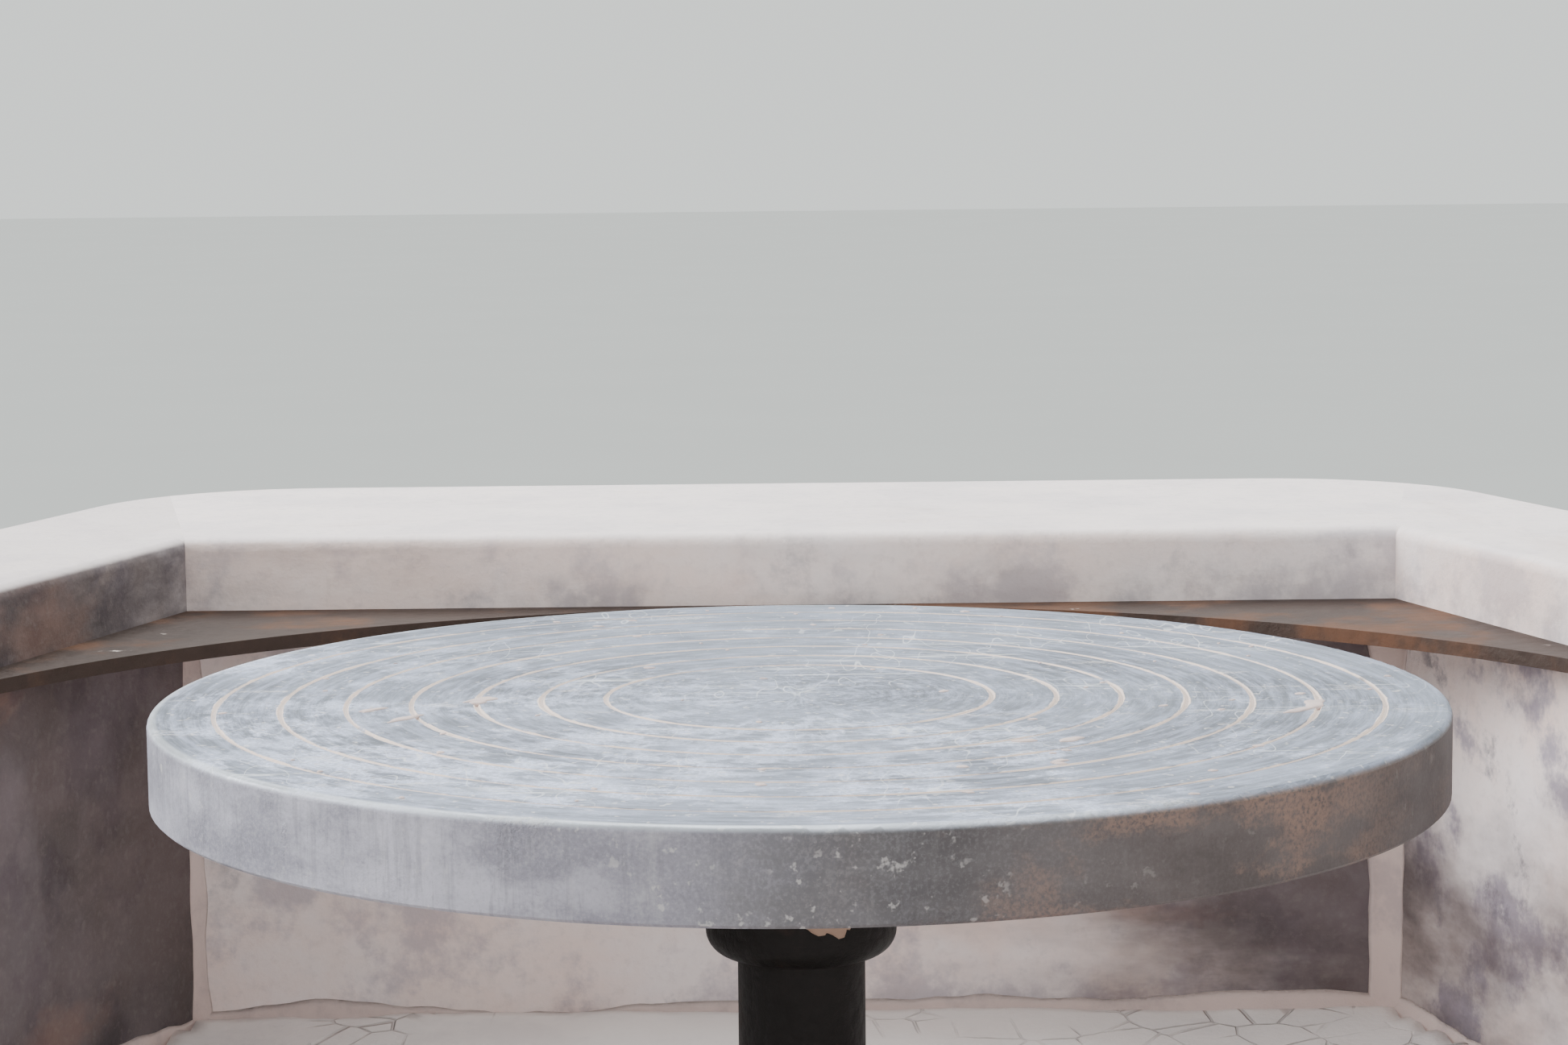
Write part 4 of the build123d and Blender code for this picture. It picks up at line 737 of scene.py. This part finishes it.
def make_floor_slip(build):
    """A thin, lumpy sheet over the tray's floor, down to nothing round the pipe and the drain."""
    count = round(2 * SLIP_REACH / SLIP_CELL)
    spots = {}
    for i in range(count + 1):
        for j in range(count + 1):
            x, y = -SLIP_REACH + i * SLIP_CELL, -SLIP_REACH + j * SLIP_CELL
            if inside_tray(x, y) > -WALL_OVERLAP and slip_depth(x, y) > SLIP_LEAST:
                spots[i, j] = build.verts.new((x, y, FLOOR_TOP + slip_depth(x, y)))
    for i, j in spots:
        quad = [(i, j), (i + 1, j), (i + 1, j + 1), (i, j + 1)]
        if all(q in spots for q in quad):
            build.faces.new([spots[q] for q in quad])
    loose = [v for v in build.verts if not v.link_faces]
    bmesh.ops.delete(build, geom=loose, context="VERTS")
    # Made edge by edge, because the extrude operator's order changes from run to run.
    border = [edge for edge in build.edges if edge.is_boundary]
    feet = {}
    for edge in border:
        for vert in edge.verts:
            if vert not in feet:
                feet[vert] = build.verts.new((vert.co.x, vert.co.y, FLOOR_TOP - SINK))
    for edge in border:
        a, b = edge.verts
        build.faces.new((a, b, feet[b], feet[a]))


DAB_SIDES = 22
DAB_PROFILE = [(0.97, 0.35), (0.78, 0.85), (0.45, 1.0), (0.18, 0.96)]   # shares of the radius and the height
DAB_RAGGED = 1.3            # how fast the outline's noise changes round a dab


def dab(build, centre, normal, length, width, height, turn, seed, outline_noise=0.38):
    """A flattened, ragged-edged drop of dried clay lying on a surface."""
    side = normal.orthogonal().normalized()
    up = normal.cross(side)
    along = side * math.cos(turn) + up * math.sin(turn)
    over = normal.cross(along)
    rings = [(1.0, -SINK)] + [(share, height * rise) for share, rise in DAB_PROFILE]
    rows = []
    for share, lift in rings:
        row = []
        for k in range(DAB_SIDES):
            angle = 2 * math.pi * k / DAB_SIDES
            spot = Vector((math.cos(angle) * DAB_RAGGED, math.sin(angle) * DAB_RAGGED, seed))
            ragged = 1 + outline_noise * noise.noise(spot)
            place = along * (length / 2 * math.cos(angle)) + over * (width / 2 * math.sin(angle))
            row.append(build.verts.new(centre + place * share * ragged + normal * lift))
        rows.append(row)
    ring_faces(build, rows)
    build.faces.new(rows[-1])
    build.faces.new(list(reversed(rows[0])))


UP = Vector((0, 0, 1))
# (radius, degrees from +X, length, width) of the dabs on the throwing surface that stand out most.
HEAD_DABS = [
    (0.0735, 181, 0.0100, 0.0040), (0.0745, 184, 0.0050, 0.0034), (0.1190, -9, 0.0105, 0.0050),
    (0.1165, -13, 0.0120, 0.0024), (0.0990, 188, 0.0080, 0.0028), (0.0840, -46, 0.0075, 0.0034),
    (0.0780, -52, 0.0055, 0.0030), (0.1010, -58, 0.0060, 0.0022), (0.0930, 196, 0.0110, 0.0026),
]
HEAD_DAB_H = 0.00035
HEAD_SPECKS, HEAD_SPECK_SIZES = 60, (0.0009, 0.0030)
EDGE_SPECKS, EDGE_SPECK_SIZES = 85, (0.0007, 0.0026)
EDGE_SPECK_H = 0.0003
EDGE_SPECK_SINK = 0.0004
EDGE_CLEAR_LOW, EDGE_CLEAR_HIGH = 0.003, 0.004      # bare strips at the foot and the top of the edge


def make_head_dabs(build):
    """The dabs on the throwing surface, and small specks all over it."""
    random.seed(11)
    for index, (radius, degrees, length, width) in enumerate(HEAD_DABS):
        angle = math.radians(degrees)
        place = Vector((radius * math.cos(angle), radius * math.sin(angle), HEAD_TOP))
        dab(build, place, UP, length, width, HEAD_DAB_H, random.uniform(-0.5, 0.5), index * 1.9, 0.6)
    for index in range(HEAD_SPECKS):
        radius, angle = HEAD_R * math.sqrt(random.uniform(0.02, 0.93)), random.uniform(0, 2 * math.pi)
        place = Vector((radius * math.cos(angle), radius * math.sin(angle), HEAD_TOP))
        size = random.uniform(*HEAD_SPECK_SIZES)
        dab(build, place, UP, size, size * random.uniform(0.5, 0.9), HEAD_DAB_H * 0.7, angle, 40 + index)


def make_head_side_dabs(build):
    """Spatter on the disc's edge."""
    random.seed(23)
    for index in range(EDGE_SPECKS):
        angle = random.uniform(math.pi, 2 * math.pi) if index % 3 else random.uniform(0, math.pi)
        outward = Vector((math.cos(angle), math.sin(angle), 0))
        size = random.uniform(*EDGE_SPECK_SIZES)
        height = random.uniform(HEAD_BOTTOM + EDGE_CLEAR_LOW, HEAD_TOP - EDGE_CLEAR_HIGH)
        place = outward * (HEAD_R - EDGE_SPECK_SINK) + Vector((0, 0, height))
        dab(build, place, outward, size * 1.3, size, EDGE_SPECK_H, 0, 90 + index)


BOSS_SHARE = 0.41           # the hub's boss, as a share of its flange's radius
# (degrees from +X, how far under the head's top, width) of the dabs on the boss.
HUB_DABS = [(-84, 0.0468, 0.009), (-72, 0.0480, 0.008), (-62, 0.0462, 0.007)]
HUB_DAB_LENGTH, HUB_DAB_H = 0.010, 0.0012


def make_hub_clay(build):
    """Wet clay that ran under the head and dried on its hub, on the potter's side."""
    for index, (degrees, low, width) in enumerate(HUB_DABS):
        angle = math.radians(degrees)
        outward = Vector((math.cos(angle), math.sin(angle), 0))
        place = outward * (HUB_FLANGE_R * BOSS_SHARE) + Vector((0, 0, HEAD_TOP - low))
        dab(build, place, outward, HUB_DAB_LENGTH, width, HUB_DAB_H, math.pi / 2, 130 + index * 3.3, 0.55)


TREAD_RIBS = 96
RIB_IN, RIB_OUT = 0.088, 0.007      # its ends, in from the tread's outer radius
RIB_LEAN = 0.05                     # radians
RIB_HALF_WIDTH, RIB_H = 0.0021, 0.0016
RIB_STEP = 0.012
# Shares of the half width, and heights.
RIB_SIDE = [(1, -SINK), (0.85, RIB_H * 0.7), (0.55, RIB_H)]
RIB_OUTLINE = RIB_SIDE + [(-share, height) for share, height in reversed(RIB_SIDE)]


def make_tread_ribs(build):
    """Raised bars round the flywheel's tread, leaning to one side and the other in turn."""
    inner, outer = TREAD_OUT_R - RIB_IN, TREAD_OUT_R - RIB_OUT
    for i in range(TREAD_RIBS):
        angle = 2 * math.pi * i / TREAD_RIBS
        lean = RIB_LEAN if i % 2 else -RIB_LEAN
        near = Vector((inner * math.cos(angle - lean), inner * math.sin(angle - lean), TREAD_TOP))
        far = Vector((outer * math.cos(angle + lean), outer * math.sin(angle + lean), TREAD_TOP))
        across = (far - near).cross(UP).normalized()

        def section(t, _):
            narrowing = 1 - 0.35 * abs(2 * t - 1) ** 6      # the ends are a little narrower
            half = across * RIB_HALF_WIDTH
            return [half * share * narrowing + UP * height for share, height in RIB_OUTLINE]

        strip_along(build, evenly(near, far, RIB_STEP), section)


clay_pale = clay_material("dried_clay", (0.70, 0.560, 0.520), False)
clay_tan = clay_material("tan_clay", (0.40, 0.275, 0.205), False)
clay_cracked = clay_material("cracked_slip", (0.98, 0.88, 0.85), True)
new_piece("corner_clay", make_corner_clay, clay_pale, "frame")
new_piece("floor_edge_clay", make_floor_clay, clay_pale, "frame")
new_piece("floor_slip", make_floor_slip, clay_cracked, "frame")
new_piece("head_dabs", make_head_dabs, clay_pale, "rotor")
new_piece("head_edge_dabs", make_head_side_dabs, clay_pale, "rotor")
new_piece("hub_clay", make_hub_clay, clay_tan, "rotor")
new_piece("tread_ribs", make_tread_ribs, nodes["flywheel_tread"].data.materials[0], "rotor")


# ---- Light, floor and camera ------------------------------------------------------------------
CAMERA_FROM_HEAD = Vector((-0.0065, -0.812, 0.138))
CAMERA_DOWN = math.radians(6.83)
CAMERA_PAN = math.radians(-0.24)
CAMERA_ROLL = math.radians(-0.57)
SENSOR = 36.0
LENS = 80.93


def make_camera():
    data = bpy.data.cameras.new("camera")
    data.sensor_width = SENSOR
    data.lens = LENS
    data.clip_start = 0.02
    camera = bpy.data.objects.new("camera", data)
    bpy.context.scene.collection.objects.link(camera)
    turn = Matrix.Rotation(CAMERA_PAN, 4, "Z") @ Matrix.Rotation(math.pi / 2 - CAMERA_DOWN, 4, "X")
    turn = turn @ Matrix.Rotation(CAMERA_ROLL, 4, "Z")
    camera.matrix_world = Matrix.Translation(Vector((0, 0, HEAD_TOP)) + CAMERA_FROM_HEAD) @ turn
    bpy.context.scene.camera = camera


def make_light(name, place, aim, size, power, colour):
    data = bpy.data.lights.new(name, "AREA")
    data.shape = "DISK"
    data.size = size
    data.energy = power
    data.color = colour
    light = bpy.data.objects.new(name, data)
    bpy.context.scene.collection.objects.link(light)
    light.location = place
    light.rotation_euler = (Vector(aim) - Vector(place)).to_track_quat("-Z", "Y").to_euler()


FLOOR_SIZE = 60
SKY_BACK = (0.86, 0.90, 0.88)
SKY_FRONT = (0.84, 0.87, 0.87)
SKY_STRENGTH = 1.22
SKY_TURN = -0.8, 0.4        # the directions' Y between which the front's colour turns to the back's


def make_stage():
    """A plain pale floor under a soft, nearly even sky."""
    g = Graph("pale_floor")
    material = g.finish(g.mix(g.noise(g.position, 1.6, 3), (0.80, 0.81, 0.795), (0.84, 0.85, 0.835)), 0.95)
    bpy.ops.mesh.primitive_plane_add(size=FLOOR_SIZE)
    floor = bpy.context.object
    floor.name = "floor"
    floor.data.materials.append(material)
    world = bpy.data.worlds.new("studio")
    bpy.context.scene.world = world
    world.use_nodes = True
    tree = world.node_tree
    background = tree.nodes["Background"]
    direction = tree.nodes.new("ShaderNodeSeparateXYZ")
    tree.links.new(tree.nodes.new("ShaderNodeTexCoord").outputs["Generated"], direction.inputs[0])
    ramp = tree.nodes.new("ShaderNodeMapRange")
    ramp.inputs["From Min"].default_value, ramp.inputs["From Max"].default_value = SKY_TURN
    tree.links.new(direction.outputs["Y"], ramp.inputs["Value"])
    blend = tree.nodes.new("ShaderNodeMix")
    blend.data_type = "RGBA"
    blend.inputs[6].default_value = (*SKY_FRONT, 1)
    blend.inputs[7].default_value = (*SKY_BACK, 1)
    tree.links.new(ramp.outputs["Result"], blend.inputs["Factor"])
    tree.links.new(blend.outputs[2], background.inputs["Color"])
    background.inputs["Strength"].default_value = SKY_STRENGTH


make_camera()
make_light("key", (-2.6, 0.5, 1.9), (0, 0.0, 0.75), 1.6, 105, (0.97, 0.98, 1.0))
make_light("overhead", (0.0, 1.2, 2.9), (0, 0.0, 0.8), 2.2, 70, (0.95, 0.98, 1.0))
make_light("fill", (0.5, -2.8, 1.2), (0, 0, 0.75), 2.2, 20, (1.0, 0.97, 0.94))
make_stage()
